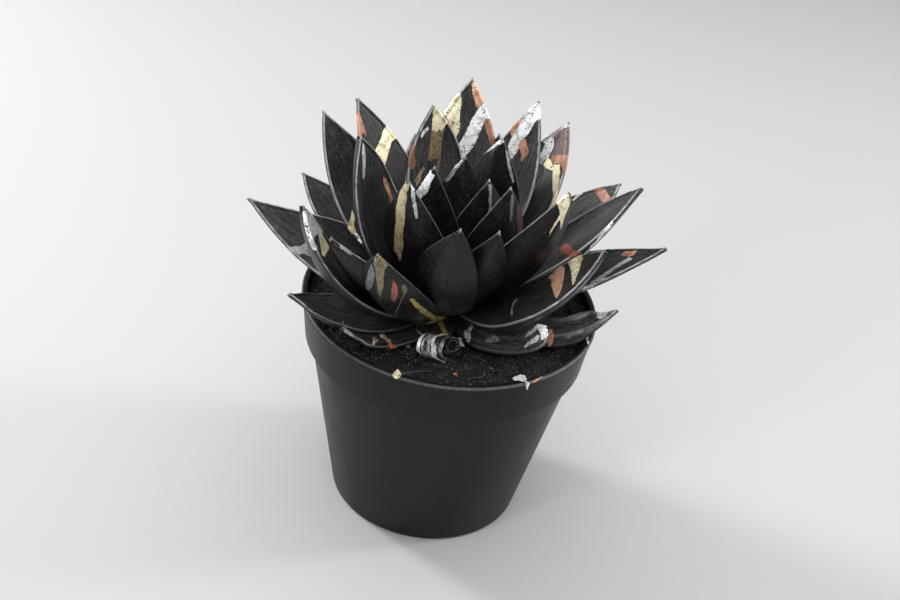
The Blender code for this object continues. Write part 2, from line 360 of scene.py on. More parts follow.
def leafPoint(leaf, share, reach, under=False):
    # reach runs across from the midline of the upper or the under side, and on round the rim
    half, thick, rim, flat, cup, edgeTop, place, sideways, face = stationAt(leaf, share)
    side = 1 if reach >= 0 else -1
    far = abs(reach)
    edgeUnder = edgeTop - 2 * rim
    beadHeight, beadReach = leafForm["bead"]

    def topAt(x):
        inside = flat - x
        grooveStart = smoothStep(2.2 * beadReach, beadReach, inside)
        grooveEnd = smoothStep(0.2 * beadReach, beadReach, inside)
        bead = smoothStep(beadReach, 0.0, inside) - 1.3 * grooveStart * grooveEnd
        return cup * (x / half) ** leafForm["cupPower"] + beadHeight * bead * min(1.0, half / 4)

    def underAt(x):
        power = mix(*leafForm["underPower"], smoothStep(0.45, 0.9, share))
        return mix(-thick, edgeUnder, (x / flat) ** power)

    if far <= flat:
        x, z = far, underAt(far) if under else topAt(far)
    elif far <= flat + math.pi * rim:
        angle = (far - flat) / rim
        x = flat + rim * math.sin(angle)
        z = edgeTop - rim + rim * math.cos(angle) * (-1 if under else 1)
    else:
        x = max(2 * flat - far + math.pi * rim, 0.0)
        z = topAt(x) if under else underAt(x)
    z += wrinkle(leaf, side * x, share)
    return place + sideways * side * x + face * z


def leafShell(shape, leaf, layers):
    # a flat grid rolled round the leaf's section and along it
    stationStart = -leafForm["sunk"] / leaf["length"]
    grid = bmesh.ops.create_grid(
        shape, x_segments=leafForm["acrossSteps"] * 2, y_segments=leafForm["alongSteps"], size=0.5)["verts"]
    for vert in grid:
        turned = vert.co.x * 2  # from -1 to 1, with 0 on the upper midline
        share = mix(stationStart, 1.0, smoothSpacing(round(vert.co.y + 0.5, 5)))
        rim, flat = stationAt(leaf, share)[2:4]
        reach = reachAt(abs(turned), flat, rim) * (1 if turned >= 0 else -1)
        side = smoothStep(0.44, 0.56, abs(turned))  # 0 above, 1 below
        edge = flat + math.pi * rim / 2
        across = edge - abs(edge - abs(reach))
        vert[layers["along"]] = share
        vert[layers["side"]] = side
        # pale margin along the rim's crest: partly worn paint, partly a painted highlight
        vert[layers["rim"]] = smoothStep(0.6, 0.15, abs(abs(reach) - flat - 0.15)) * rimWearAndHighlight(leaf, share)
        # on the oldest leaves the crests of the folds get a painted highlight as well
        if leaf["old"] > 2:
            crestHighlight = smoothStep(0.35, 0.6, wrinkle(leaf, reach, share)) * smoothStep(0.45, 0.75, share)
            crestHighlight = 0.6 * crestHighlight * smoothStep(flat, flat * 0.9, abs(reach))
            vert[layers["rim"]] = max(vert[layers["rim"]], crestHighlight)
        across = math.copysign(across, reach)
        vert[layers["place"]] = Vector((across, share * leaf["length"], leaf["seed"] * 13.0 + 5 * side))
        vert.co = leafPoint(leaf, share, reach)
    faces = {face for vert in grid for face in vert.link_faces}
    bmesh.ops.remove_doubles(shape, verts=grid, dist=1e-5)
    grid = [vert for vert in grid if vert.is_valid]
    openEdges = [edge for edge in {edge for vert in grid for edge in vert.link_edges} if edge.is_boundary]
    caps = bmesh.ops.holes_fill(shape, edges=openEdges)["faces"]
    faces = [face for face in faces if face.is_valid] + caps
    bmesh.ops.recalc_face_normals(shape, faces=faces)


def rimWearAndHighlight(leaf, share):
    # the rims are painted pale towards the tip, partly as worn paint and partly as a painted highlight, and on
    # the old leaves at the tip only
    worn = mix(0.2, 1.0, smoothStep(0.2, 0.6, share))
    return mix(worn, smoothStep(0.75, 1.0, share), min(leaf["old"], 1.0))


def smoothSpacing(share):
    # sections stand closer together near the tip
    return 1 - (1 - share) ** 1.35


def reachAt(turned, flat, rim):
    # spends a sixth of the way round on each rim, and stands closer together beside it
    low, high = 5 / 12, 7 / 12
    if turned < low:
        return flat * (1 - (1 - turned / low) ** 1.6)
    if turned < high:
        return flat + math.pi * rim * (turned - low) / (high - low)
    return flat + math.pi * rim + flat * (1 - (1 - (turned - high) / (1 - high)) ** (1 / 1.3))


leaves = {}
for number, (leafName, row) in enumerate(leafRows.items()):
    leaves[leafName] = leafAt(number, *row)


leafPaintForm = {
    # the colours above are lighter than those below: a painted sheen on the upper faces, painted shade on the
    # under faces
    "above": ((0.010, 0.010, 0.0104), (0.036, 0.0355, 0.036)),  # dark and light streaks on the upper side
    "below": ((0.003, 0.003, 0.0032), (0.007, 0.0068, 0.007)),
    # grey of the speckle: partly dust, partly a painted sheen
    "dustAndSheenColour": (0.105, 0.103, 0.103),
    # pale colour of the rims: worn paint and painted highlight
    "worn": (0.42, 0.415, 0.41),
}


def paintedLeafMaterial():
    made = newMaterial("black_leaf_paint", Roughness=0.4, Specular_IOR_Level=0.23)
    fine = noiseOn(made, attributeCoordinates(made, "place", (1, 0.6, 1)), 1.3, 6.0, 0.78)
    streak = noiseOn(made, attributeCoordinates(made, "place", (1.3, 0.07, 1)), 1.0, 4.0, 0.6)
    broad = noiseOn(made, attributeCoordinates(made, "place", (1, 1, 1)), 0.11, 2.0)
    side = attributeOf(made, "side")
    rim = attributeOf(made, "rim")
    along = attributeOf(made, "along")
    # grey speckle, most on the upper side and towards the tip: partly dust, partly a painted sheen on the
    # upper faces
    dustAndSheen = times(made, rangeOf(made, fine, 0.48, 0.68), rangeOf(made, broad, 0.35, 0.6, 0.15, 1.0))
    dustAndSheen = times(made, dustAndSheen, rangeOf(made, along, 0.3, 0.75, 0.15, 1.0))
    dustAndSheen = times(made, dustAndSheen, rangeOf(made, side, 0.0, 1.0, 1.0, 0.35))
    # the upper side is painted lighter than the under side: painted sheen above, painted shade below
    above = blendColours(made, rangeOf(made, streak, 0.4, 0.62), *leafPaintForm["above"])
    below = blendColours(made, rangeOf(made, streak, 0.35, 0.7), *leafPaintForm["below"])
    paint = blendColours(made, side, above, below)
    paint = blendColours(made, dustAndSheen, paint, leafPaintForm["dustAndSheenColour"])
    # the rims are mixed towards the pale colour: worn paint and a painted highlight
    worn = times(made, rim, rangeOf(made, streak, 0.35, 0.6, 0.25, 1.0))
    paint = blendColours(made, worn, paint, leafPaintForm["worn"])
    rough = rangeOf(made, broad, 0.3, 0.7, 0.27, 0.38)
    rough = maths(made, "ADD", rough, times(made, dustAndSheen, 0.12))
    normal = bumpOn(made, fine, 0.14, 0.5)
    normal = bumpOn(made, streak, 0.55, 0.7, normal)
    dress(made, Base_Color=paint, Roughness=rough, Normal=normal)
    return made


def startLeaves():
    shape = bmesh.new()
    layers = {name: shape.verts.layers.float.new(name) for name in ("along", "side", "rim")}
    layers["place"] = shape.verts.layers.float_vector.new("place")
    return shape, layers


def makeLeaves(made, name, chosen):
    shape, layers = startLeaves()
    for leaf in chosen:
        leafShell(shape, leaf, layers)
    return finishPiece(name, shape, made, ["rosette"])


def makeStem(made):
    # a plain round stem with a dome on top, from which the leaves stand out
    shape = startLeaves()[0]
    low, top, sides = stemForm["low"], stemForm["top"], stemForm["sides"]
    radius = leafForm["outerRoot"][0]
    stem = bmesh.ops.create_cone(
        shape, cap_ends=True, segments=sides, radius1=radius, radius2=radius, depth=top - low)["verts"]
    bmesh.ops.translate(shape, verts=stem, vec=(0, 0, (low + top) / 2))
    dome = bmesh.ops.create_uvsphere(
        shape, u_segments=sides, v_segments=stemForm["rings"], radius=radius)["verts"]
    bmesh.ops.scale(shape, verts=dome, vec=(1, 1, stemForm["dome"] / radius))
    bmesh.ops.translate(shape, verts=dome, vec=(0, 0, top))
    return finishPiece("stem", shape, made, ["rosette"])


leafPaint = paintedLeafMaterial()
outerLeaves = makeLeaves(leafPaint, "outer_leaves", list(leaves.values())[:leafForm["outerCount"]])
innerLeaves = makeLeaves(leafPaint, "inner_leaves", list(leaves.values())[leafForm["outerCount"]:])
makeStem(leafPaint)
print("leaves", len(leaves), "triangles", [
    sum(len(face.vertices) - 2 for face in piece.data.polygons) for piece in (outerLeaves, innerLeaves)])


# Metal leaf

foilForm = {
    "lift": 0.09,  # between the paint and the foil's underside
    "thickness": 0.06,
    "crinkle": 0.10,  # how far its folds rise
    "edgeStep": 0.6,  # between points along an outline, which stray by the next value
    "ragged": 0.22,
    "acrossStep": 0.3,  # between the cuts that let a patch bend with its leaf
    "alongStep": 1.3,
    "rootTone": 0.7,  # how bright a patch is at its end near the stem, and at the other
    "tipTone": 1.2,
}
# some narrow strips along keels and rims are painted highlights, made as metal leaf
foilMarks = [
    # leaf, metal, on the under side, tone, outline: reach and distance along by turns; a low tone is partly
    # wear and partly painted shade where a dab lay in shade
    ("leftUpper", "gold", False, 0.94, (-5.9, 53.5, -8.4, 54.7, -10.6, 49.1, -7.4, 48.5, -4.9, 46, -1.5, 43,
        1, 41.6, 1.6, 44.7, 1.6, 48.3, -1.7, 49.9, -3.7, 51.3)),
    ("leftUpper", "copper", False, 0.55, (2.8, 63.8, 2.3, 62.1, 2.6, 59.9, 2.6, 57.7, 2.4, 55.8, 3.4, 54.4,
        4.6, 56.3, 6.7, 55.5, 8.2, 54.9, 8.5, 55.8, 7.7, 57.7, 8, 58.8, 7.4, 60.5, 5.9, 61.6, 4.2, 62.7)),
    ("budBack", "gold", False, 0.98, (0.1, 59.1, -3.2, 56.4, -6.1, 53.5, -5.5, 52.6, -4.2, 50.6, -3.1, 49.4,
        -2.1, 50.4, -1.2, 49.2, -0.1, 50.4, 0.8, 49.9, 0.8, 52.6, 0.6, 54.7, 0.4, 56.9)),
    ("budBack", "bronze", False, 0.24, (0.9, 49.9, -0.2, 50.1, -1.2, 48.9, -2.1, 50.4, -3.2, 49.2, -4.2, 50.1,
        -3.5, 47.2, -3.1, 43.1, -2.9, 39.7, -2.2, 37.3, -1.8, 34.4, -1.2, 34.1, -1.3, 38.5, -0.3, 40, 0.9,
        39.2, 2.2, 39.7, 1.8, 43.3, 1.2, 46.7)),
    ("budBack", "silver", False, 0.9, (2.6, 52.1, 2.1, 51.1, 3.6, 49.9, 5.2, 48.4, 5.8, 49.2, 4.7, 50.9)),
    ("budBack", "copper", False, 0.23, (8.9, 47, 8.3, 45.8, 8.5, 43.6, 8.3, 41.7, 7.8, 40, 8.7, 37.8, 10.3,
        38, 11.1, 39.5, 11.3, 41.4, 12.2, 42.1, 11.6, 43.1, 10.7, 44.1, 9.9, 45.5)),
    ("backTallest", "gold", False, 1, (3.3, 64.7, 2.7, 61.6, 2.6, 57.5, 2.4, 54.7, 2.1, 52.1, 2.6, 49.5, 2.9,
        48.3, 4.6, 49.8, 6, 52.1, 6.8, 54.4, 7.9, 55.5, 8.6, 57, 7.8, 59, 6.3, 61.3, 4.8, 63.6)),
    ("backTallest", "silver", False, 1, (-4.1, 60.7, -5.9, 62.1, -7.6, 59.5, -8.9, 56.7, -6.8, 56.4, -6.3,
        55.2, -5.8, 52.9, -5.1, 50.3, -4.1, 47.2, -2.7, 44.3, -1.4, 42.6, -0.5, 41.1, 0.3, 41.7, 1.3, 43.7,
        2.1, 45.7, 1.1, 47.5, -0.1, 50.1, -1.3, 54.1, -2.7, 57.5)),
    ("backTallest", "copper", False, 0.8, (0, 68.5, -2.1, 68.5, -3.2, 66.2, -4.7, 63.9, -5.8, 61.9, -3.8,
        60.4, -3.1, 59.8, -1.9, 62.4, -0.6, 65.3)),
    ("backTallest", "copper", False, 0.36, (-6.2, 55.8, -7.6, 56.7, -9.2, 56.4, -10.2, 53.8, -11.5, 51.2,
        -11.9, 48.6, -11.2, 47.2, -9.6, 47.5, -8.4, 50.3, -7.1, 53.2)),
    ("budTip", "silver", True, 0.47, (0.8, 62.2, 1.5, 61.4, -0.7, 59.9, -1.9, 57.6, -3.7, 55.6, -5.7, 53.5,
        -6.7, 53.8, -5.6, 55.6, -3.8, 57.9, -2.6, 59.4, -1, 61.4)),
    ("budTip", "copper", True, 1, (-7.3, 53, -6, 54.3, -5.1, 54.3, -6, 52.5, -7.1, 52)),
    ("budTip", "copper", True, 0.04, (-2.2, 58.1, -1, 59.1, -1.2, 57.4, -1.6, 55.3, -2.3, 54.5, -2.9, 56.1)),
    ("rightUpper", "silver", False, 0.92, (0, 67.3, -1.2, 67.3, -2.9, 64.5, -4.1, 62.1, -2.2, 61, -1.5, 59.3,
        -1, 56.8, -0.3, 54.3, 1.2, 52.4, 1.5, 51, 1.1, 49.4, 1.5, 46.9, 2.1, 44.7, 3.4, 45.2, 4.8, 47.2, 5.4,
        48.3, 5.3, 49.9, 5, 51.8, 4.8, 54.3, 4.2, 56.8, 3.5, 59.6, 2.4, 63.2, 1.2, 65.6)),
    ("rightUpper", "copper", False, 0.64, (5.1, 58.2, 3.7, 59, 4.3, 56, 4.4, 53.8, 5, 51.8, 6.3, 52.7, 6.5,
        55.2)),
    ("rightUpper", "copper", False, 0.4, (0.6, 53.5, -0.6, 53, -2, 51, -3.5, 49.6, -3.6, 48.3, -2.7, 46.9,
        -2.4, 45.2, -1.4, 45.5, -0.9, 47.4, 0.5, 48.8, 1.8, 49.9, 1.6, 51.3)),
    ("rightTall", "silver", False, 0.6, (6.6, 55.9, 5.3, 58.3, 3.4, 60.5, 1.9, 62.7, 0.8, 64.6, 0, 66.5,
        -1.6, 65.4, 0.3, 63.8, 1.2, 62.1, 2.3, 60.2, 3.8, 58, 4.8, 56.1)),
    ("rightTall", "lilac", False, 0.15, (3, 59.1, 1.5, 61.9, -0.2, 64.6, -1.7, 65.1, -7.4, 56.4, -4.5, 55,
        -1.7, 54.2, -0.1, 54.2, 0.6, 56.4, 0.9, 58)),
    ("rightTall", "silver", False, 0.76, (5.6, 56.1, 3.6, 58.6, 2.8, 59.7, 1.5, 58.3, 0.7, 56.7, 0.6, 54.5,
        0.4, 53.1, 0.2, 52, 1.2, 51.2, 1.5, 50.1, 1.5, 48.8, 2.8, 48.8, 4.3, 50.4, 4.1, 51.8, 3.8, 52.9, 4,
        54.5, 3.9, 55.9)),
    ("rightTall", "copper", False, 0.34, (0.3, 53.7, -2.2, 54.2, -4.6, 55.6, -7.4, 56.4, -10.1, 52, -10.7,
        49.3, -9.6, 48.8, -7.9, 50.7, -6.1, 51.8, -4.2, 51.5, -2.7, 50.7, -1, 51.8)),
    ("rightTall", "gold", False, 0.76, (-0.1, 52, -1.6, 51.2, -2.8, 50.4, -5.6, 51.8, -7.3, 49.6, -8.9, 46.9,
        -10.1, 44.7, -11.3, 41.7, -12.4, 39, -12.5, 37.3, -11.7, 37.9, -10, 40.9, -7.4, 43.9, -5.7, 46.3,
        -4.1, 48.8, -2.2, 48.5, -0.5, 48.2, 1.1, 49, 1, 50.4, 0.8, 51.5)),
    ("rightBack", "copper", False, 0.26, (5.7, 57.5, 4.2, 59.9, 1.9, 59.7, -1, 59.1, -3.5, 58.9, -3.4, 57.8,
        -2.3, 55.9, -1.2, 55.7, 0.9, 55.9, 2.8, 56.2, 4.7, 56.7)),
    ("rightBack", "silver", False, 0.56, (7.7, 48.4, 8, 50.8, 7.6, 52.7, 6.7, 52.7, 7, 50.6, 6.8, 48.4)),
    ("right", "copper", True, 0.07, (-2.1, 66.9, -1.5, 68, 0.3, 68.3, 0, 67.2, -0.6, 66.3)),
    ("right", "silver", True, 1, (-9.5, 54.9, -8.7, 54.6, -9, 49.8, -8.5, 44.8, -6.8, 39.7, -9, 39.2, -11,
        43.7, -11.1, 49)),
    ("innerRight", "gold", True, 1, (-0.6, 73.9, -0.2, 73.9, 1.4, 70.9, 1.4, 69.1, 1, 67.5, 1.4, 64.8, 1.9,
        62.1, 2.7, 59.1, 2.3, 58.7, 0.1, 63, -1, 65.4, -1.5, 67.5, -2.6, 69.1, -3.7, 69.4, -3.1, 70.9, -2,
        72.4)),
    ("innerRight", "gold", True, 1, (-1, 66, -0.3, 64.8, -0.8, 62.4, -1.2, 60, -1.2, 57.2, -1.4, 56.6, -1.7,
        58.4, -1.6, 61.2, -1.3, 63.9)),
    ("right", "rust", False, 0.26, (1.6, 31.9, 2.8, 33, 1.9, 34.7, -1.2, 35.8, -5.5, 36.4, -9.8, 38.3, -12.5,
        39.7, -14, 40, -14.6, 38.9, -13.8, 37.2, -13.8, 35.5, -12.5, 35.5, -6.6, 34.4, -3, 32.5, 0.2, 31.6)),
    ("frontRight", "gold", False, 1, (8.2, 59.3, 6.3, 59, 4.6, 57.9, 2.7, 56.7, 0.3, 56.1, -2.6, 56.4, -3.1,
        55.8, 1.1, 53.8, 4.5, 52.9, 8.6, 51.1, 11.7, 49.4, 11.3, 51.1, 10.3, 54.6, 9.3, 57.3)),
    ("frontRight", "copper", False, 0.77, (12, 45.3, 10.5, 47.3, 7.2, 48.2, 4, 48.5, 0.5, 48.8, -3.1, 49.4,
        -6.2, 50, -2.7, 47, 1.7, 44.1, 5.9, 41.5, 8.8, 39.7, 10.4, 37.7, 11.3, 38, 11.9, 40.9, 12.3, 43.2)),
    ("rightFar", "copper", False, 0.53, (4.7, 50.1, 5.7, 51.8, 5, 54, 4.2, 56.1, 2.4, 54.8, 2.3, 52.9, 3.4,
        51.2)),
    ("rightFar", "copper", False, 0.04, (9.3, 45.5, 9.6, 46.6, 8.1, 46.6, 7.6, 45.5, 8.4, 45.2)),
    ("rightFar", "dull", False, 0.58, (1.8, 53.1, 0.2, 54, -1.8, 50.1, -5, 46.3, -8.9, 42.8, -12.5, 38.4,
        -14.6, 35.1, -14.9, 33, -14.8, 32.1, -13.4, 33.5, -10.5, 37.3, -6.6, 41.1, -2.7, 45, 0.4, 49)),
    ("leftFar", "silver", False, 0.31, (9.1, 48.8, 8, 47.6, 6, 45.7, 4.4, 44, 2.7, 43.2, 1.1, 43.2, 2.6, 42.1,
        4.4, 41, 6.2, 39.6, 7, 40.1, 7.1, 41.5, 7.6, 42.9, 8.8, 43.7, 10.1, 44, 11.4, 42.9, 12.4, 43.2, 11.9,
        44.9, 10.8, 47.1)),
    ("leftEdgeOn", "silver", False, 1, (1.5, 73.6, -2.2, 72, -5, 68.7, -7.8, 64.4, -9.7, 60.4, -10.6, 56.7,
        -9.7, 54.3, -6.1, 57.9, -5.2, 59.5, -2.4, 61, 0.5, 62.2, 3.6, 62.5, 1.7, 59.5, 8.6, 63.1, 9.4, 63.8,
        9, 65, 7.8, 66.8, 6.5, 68.7, 5, 70.2)),
    ("leftEdgeOn", "gold", False, 1, (-5.7, 58.5, -9.4, 55.8, -9.9, 53, -9.2, 51.2, -9.1, 49, -7, 50, -3.8,
        51.8, -0.8, 53, 1.4, 55.2, 0.2, 55.8, -2.5, 56.1, -4.3, 57)),
    ("leftNarrow", "silver", False, 0.41, (1.8, 65.9, 1.7, 65, 2.6, 63.6, 3.5, 61.6, 4.4, 60.8, 4.9, 60.8,
        4.4, 62.2, 3.6, 63.9, 2.8, 65)),
    ("leftNarrow", "bronze", True, 0.05, (0.2, 68.4, 1.1, 67.3, 1.6, 65.6, 1.3, 64.8, 0.7, 66.5, 0.2, 67.9)),
    ("leftNarrow", "bronze", True, 0.03, (0.8, 64.5, 1.6, 63.9, 2.2, 63.1, 1.8, 62.2, 1.1, 63.1)),
    ("leftNarrow", "bronze", True, 0.06, (1.9, 61.9, 2.8, 61.4, 3, 60.2, 1.9, 60.2)),
    ("leftTall", "gold", False, 0.74, (7.7, 35.5, 8.5, 33.8, 9.1, 32.1, 10.8, 30.9, 11.3, 29.5, 11.5, 28.3,
        12.9, 28.3, 14.1, 28.3, 14.2, 29.8, 14.1, 30.9, 12.8, 32.1, 11.1, 32.9, 9.2, 34.4)),
    ("leftTall", "silver", True, 1, (14.4, 28.3, 15.4, 28.3, 15.3, 27.2, 15.3, 26, 14.3, 26, 13.8, 26, 13.7,
        25.2, 13.7, 24, 14.4, 24.3, 14.9, 25.8, 14.8, 27.2)),
    ("frontLeft", "gold", True, 0.22, (0.4, 67.2, 1.8, 65.8, 2.3, 64.7, 3.2, 63.3, 2.4, 62.2, 2, 60.3, 1.6,
        57.3, 0.9, 53.7, -0.9, 47.9, -1.9, 45.2, -1.6, 49.6, -1, 54.8, -0.7, 59.5, -0.6, 62.2, -1, 63.9, -0.6,
        66.1)),
    ("frontLeft", "dull", True, 0.27, (-2.2, 62.5, -0.9, 61.1, -1.3, 58.1, -2.4, 54.8, -4.4, 49.3, -6.8, 44.9,
        -8.3, 43.8, -7.3, 48.7, -5.5, 53.7, -3.8, 58.7)),
    ("frontLeft", "rust", True, 0.43, (4.5, 57.3, 5.1, 55.9, 5.3, 53.4, 5.2, 50.9, 4.4, 48.5, 3, 45.2, 2.5,
        45.7, 2.5, 48.5, 3, 51.2, 3.7, 53.7, 4, 56.2)),
    ("frontLeft", "gold", True, 0.12, (6.6, 54.5, 7.3, 54.5, 7.7, 53.4, 7.9, 51.8, -11, 8, 6.6, 50.1, 6.1,
        51.8, 6.2, 53.4)),
    ("innerLeft", "copper", False, 0.55, (-9.9, 52.8, -11.1, 50.6, -11.3, 46.9, -11.3, 43.5, -11.4, 39.4,
        -10.8, 38.2, -9.3, 37.9, -8.9, 39.4, -9.4, 42.2, -9.9, 45.3, -9.3, 48.4, -9.4, 51.2)),
    # this narrow silver strip along the keel near the tip is a painted highlight
    ("innerLeft", "silver", False, 0.71, (-0.9, 73.3, -1.7, 71.8, -2, 67.7, -1.4, 64.3, -0.1, 61.2, 1.2, 60.3,
        2, 61.5, 0.6, 65.5, 0.5, 69.3, -0.2, 71.8)),
    ("budBack", "bronze", False, 0.25, (4.6, 38, 3.8, 37, 5.2, 35.4, 6.1, 33.4, 6.9, 31.7, 8, 31, 8.3, 32.4,
        8.8, 33.7, 7.2, 35.4, 5.8, 36.8)),
    ("budLeft", "silver", True, 1, (-1, 56.6, 0.8, 55.6, 0.6, 54, 0.2, 52.1, -0.1, 49.9, -1.4, 47.8, -3, 45.6,
        -4, 44.2, -5.6, 44.4, -6.6, 45.2, -5.3, 47.3, -3.9, 49.9, -2.9, 52.3, -1.8, 54.4)),
    ("budFront", "silver", True, 0.25, (-1.7, 52.7, -0.5, 52.7, -1.1, 51.1, -2.1, 48.7, -3.1, 46.5, -3.9,
        44.9, -4.9, 44, -5.3, 44.7, -4.1, 47.4, -3, 50)),
    ("innerFront", "gold", True, 0.49, (0.1, 75.7, 0.7, 74.8, 0.6, 73.2, 0.3, 70.4, 0.1, 67.3, -0.1, 63.8,
        -0.3, 60.4, -0.8, 56.7, -1.3, 52.9, -1.4, 48.9, -2.5, 45.1, -2.9, 41.7, -4.2, 38.9, -4.5, 40.8, -4.9,
        43, -6.1, 42.7, -5.5, 46.4, -5, 50.8, -4.5, 54.8, -4, 58.5, -4.1, 61.7, -3.7, 65.1, -3.4, 67.6, -2.6,
        70.4, -1.3, 73.5)),
    # this narrow silver strip beside the gold stripe is a painted highlight along the keel
    ("innerFront", "silver", True, 0.73, (1.1, 75.4, 2, 75.1, 2.4, 73.2, 2.4, 71.3, 2.9, 68.5, 3.5, 65.4, 3.7,
        63.2, 3.3, 62.3, 2.7, 63.8, 2.2, 67, 1.7, 70.1, 1.3, 72.9)),
    ("budRight", "rust", True, 0.06, (3.4, 52.7, 4.9, 51.3, 6.8, 47.4, 8.4, 43, 9.3, 38.9, 10.5, 34.3, 10,
        32.1, 8.7, 31.2, 7.2, 32.1, 7, 35, 6.5, 38.7, 5.1, 43.5, 3.8, 47.9, 3.4, 51)),
    ("leftFrontLow", "gold", False, 0.71, (4, 29.8, 3.8, 28.5, 5.6, 28.8, 5.9, 28.2, 6.6, 29.8, 8.1, 31.3,
        7.6, 31.6, 5.8, 30.5)),
    ("leftFrontLow", "bronze", False, 0.86, (0.7, 26.6, 1.3, 25.7, 2.7, 24.6, 5, 24.1, 6.6, 23.9, 7.5, 24.9,
        6.1, 25.6, 4.2, 26.1, 2.4, 26.9)),
    ("leftFrontLow", "rust", False, 0.83, (6.5, 24.6, 7.2, 23.9, 8.8, 23.8, 9.7, 23.3, 10.2, 24.1, 11.3, 24.9,
        11.8, 25.9, 11.1, 26.2, 10.2, 25.7, 9.1, 26.6)),
    ("frontSide", "silver", False, 0.97, (2.1, 33.3, 4.4, 34.7, 3.2, 35.3, 0.5, 36, -1.3, 35.6, -3.3, 34.7,
        -4.3, 33, -4.3, 31.9, -2.2, 32.5, -0.8, 32.3)),
    ("frontSide", "silver", False, 0.54, (-2.7, 32.2, -3.9, 31.4, -4.5, 30.2, -5.1, 28.5, -5.8, 27.1, -5.2,
        26.8, -3.9, 28.2, -2.9, 29.9, -2.4, 31.4)),
    ("frontSide", "dull", False, 0.57, (-2.2, 27.4, -0.4, 29.1, 0.8, 31.1, 2.1, 33.3, 0, 32.9, -1.2, 31.1,
        -1.9, 29.2)),
    ("frontSide", "dull", False, 0.36, (-4.3, 16.1, -2.8, 16.7, -1.4, 17.8, -2.1, 19.6, -3.7, 19.8, -4.5,
        18.1, -4.9, 16.5)),
    ("rightLow", "silver", False, 0.71, (4.1, 45.6, 4.6, 47.8, 3.8, 49.7, 2.6, 51.5, 1.6, 51.9, 2, 49.7, 1.7,
        47.6, 1.9, 45.8, 3.2, 44.7)),
    ("leftFrontLow", "dull", False, 0.23, (-3, 36.9, -2.3, 36.7, 0.8, 39.2, 2.1, 38.9, 3.5, 38, 4.5, 35.7,
        5.5, 36.4, 4.2, 38, 3.2, 38.9, 1, 39.7)),
    ("frontSide", "dull", False, 0.62, (-0.7, 8.8, -1.3, 9.9, -3.1, 10.6, -6.6, 12.7, -7.3, 12.2, -6.9, 11.6,
        -4.4, 8.8, -2.8, 8.7)),
    ("frontLeft", "bare", True, 0.71, (7.6, 46.5, 8.8, 46, 9.5, 42.7, 10.4, 37.2, 10.8, 30.8, 10.2, 22, 6.8,
        12.9, 9.1, 25.9, 9.2, 33.3, 8.4, 39.9)),
    ("frontLeft", "bare", True, 1, (10.3, 23.1, 10.5, 16.5, 11.4, 7.7, 11.7, 9.1, 8.6, 8.5, 7.3, 10.7, 7.3,
        15.4)),
    ("frontLeft", "bare", True, 1, (9.8, 22.3, 6.3, 11.3, 5.7, 13.7, 5, 17.1, 2.3, 20.1, 2.2, 20.4, 4, 17.6,
        7.4, 21.5)),
    ("frontStub", "bare", False, 1, (-0.6, 7.4, 0.5, 6.5, 2.1, 9.2, 3.6, 12.6, 5.6, 17.3, 4.5, 17.2, 2.3,
        13.7, 0.6, 10.4)),
    ("rightLow", "dull", False, 0.25, (1.7, 51.3, 0.9, 51.7, 0.2, 46, -1.2, 42.1, -2.3, 38, -5.3, 34.5, -4.1,
        34.1, -0.9, 37.6, -0.2, 42.1, 1, 46)),
    ("rightLow", "dull", False, 0.18, (-2.8, 49.5, -3.6, 49.3, -4.2, 47.1, -4.3, 44.7, -4.2, 42.1, -5.5, 39.7,
        -4.2, 39.3, -2.6, 41.7, -2.9, 44.7, -3.3, 47.3)),
    ("rightLow", "silver", False, 0.3, (1.1, 49.5, 0.9, 51.7, 0.1, 51.9, 0, 49.3, 0.2, 46.7, 1.2, 46.5)),
    ("budFrontRight", "silver", True, 0.28, (-0.4, 51.7, 0.3, 51.7, 0.9, 48, 1.3, 42.8, 3.3, 35.8, 2.7, 35.6,
        0.6, 42.4, -0.1, 47.1)),
    ("budRight", "dull", True, 0.2, (-0.2, 57.1, 0.9, 56.8, 1.4, 53, 1.9, 46.9, 1.1, 47.1, 0.1, 52.7)),
    ("budTip", "silver", True, 0.49, (1.9, 58.9, 2.8, 58.1, 4.6, 54, 6.9, 48.2, 6.4, 47.9, 4.1, 52.8)),
    ("frontRight", "dull", False, 0.67, (4.9, 23.1, 3.9, 25.1, 2.6, 24.2, -0.4, 25.7, -6.1, 30.4, -5.9, 29.5,
        0.5, 24.2, 3.5, 22.8)),
    ("backLow1", "gold", False, 0.75, (-3, 34, 0, 31, 3, 33, 4, 38, 1, 41, -2, 39)),
    ("backLow2", "copper", False, 0.75, (2, 36, 5, 33, 6.5, 36, 3.5, 42, 1.5, 44)),
    ("backLow3", "silver", True, 0.75, (-5, 30, -2, 28, 0.5, 31, -1, 38, -3, 42, -4.5, 37)),
    ("back4", "gold", True, 0.75, (1, 33, 4, 32, 6.5, 35, 5, 41, 2.5, 46, 1, 40)),
    ("back5", "copper", True, 0.75, (-6, 33, -3.5, 31, -1, 35, -2, 42, -4.5, 40)),
    ("back6", "silver", False, 0.75, (-4, 40, 0, 36, 3, 40, 1.5, 47, -1.5, 50)),
    ("backTallest", "gold", True, 0.75, (-5, 44, -1, 41, 2, 46, 0.5, 54, -2.5, 59, -4, 52)),
    ("rightTall", "copper", True, 0.75, (3, 42, 6, 40, 7, 45, 5, 52, 3, 50)),
    ("leftTall", "silver", True, 0.75, (-2, 48, 1.5, 45, 4, 50, 2, 57, -0.5, 60)),
    ("leftUpper", "bronze", True, 0.75, (-6, 38, -3, 35, -1, 40, -2.5, 47, -5, 45)),
    ("rightBack", "gold", True, 0.75, (-4, 40, -1, 37, 2, 41, 0, 48, -3, 47)),
]


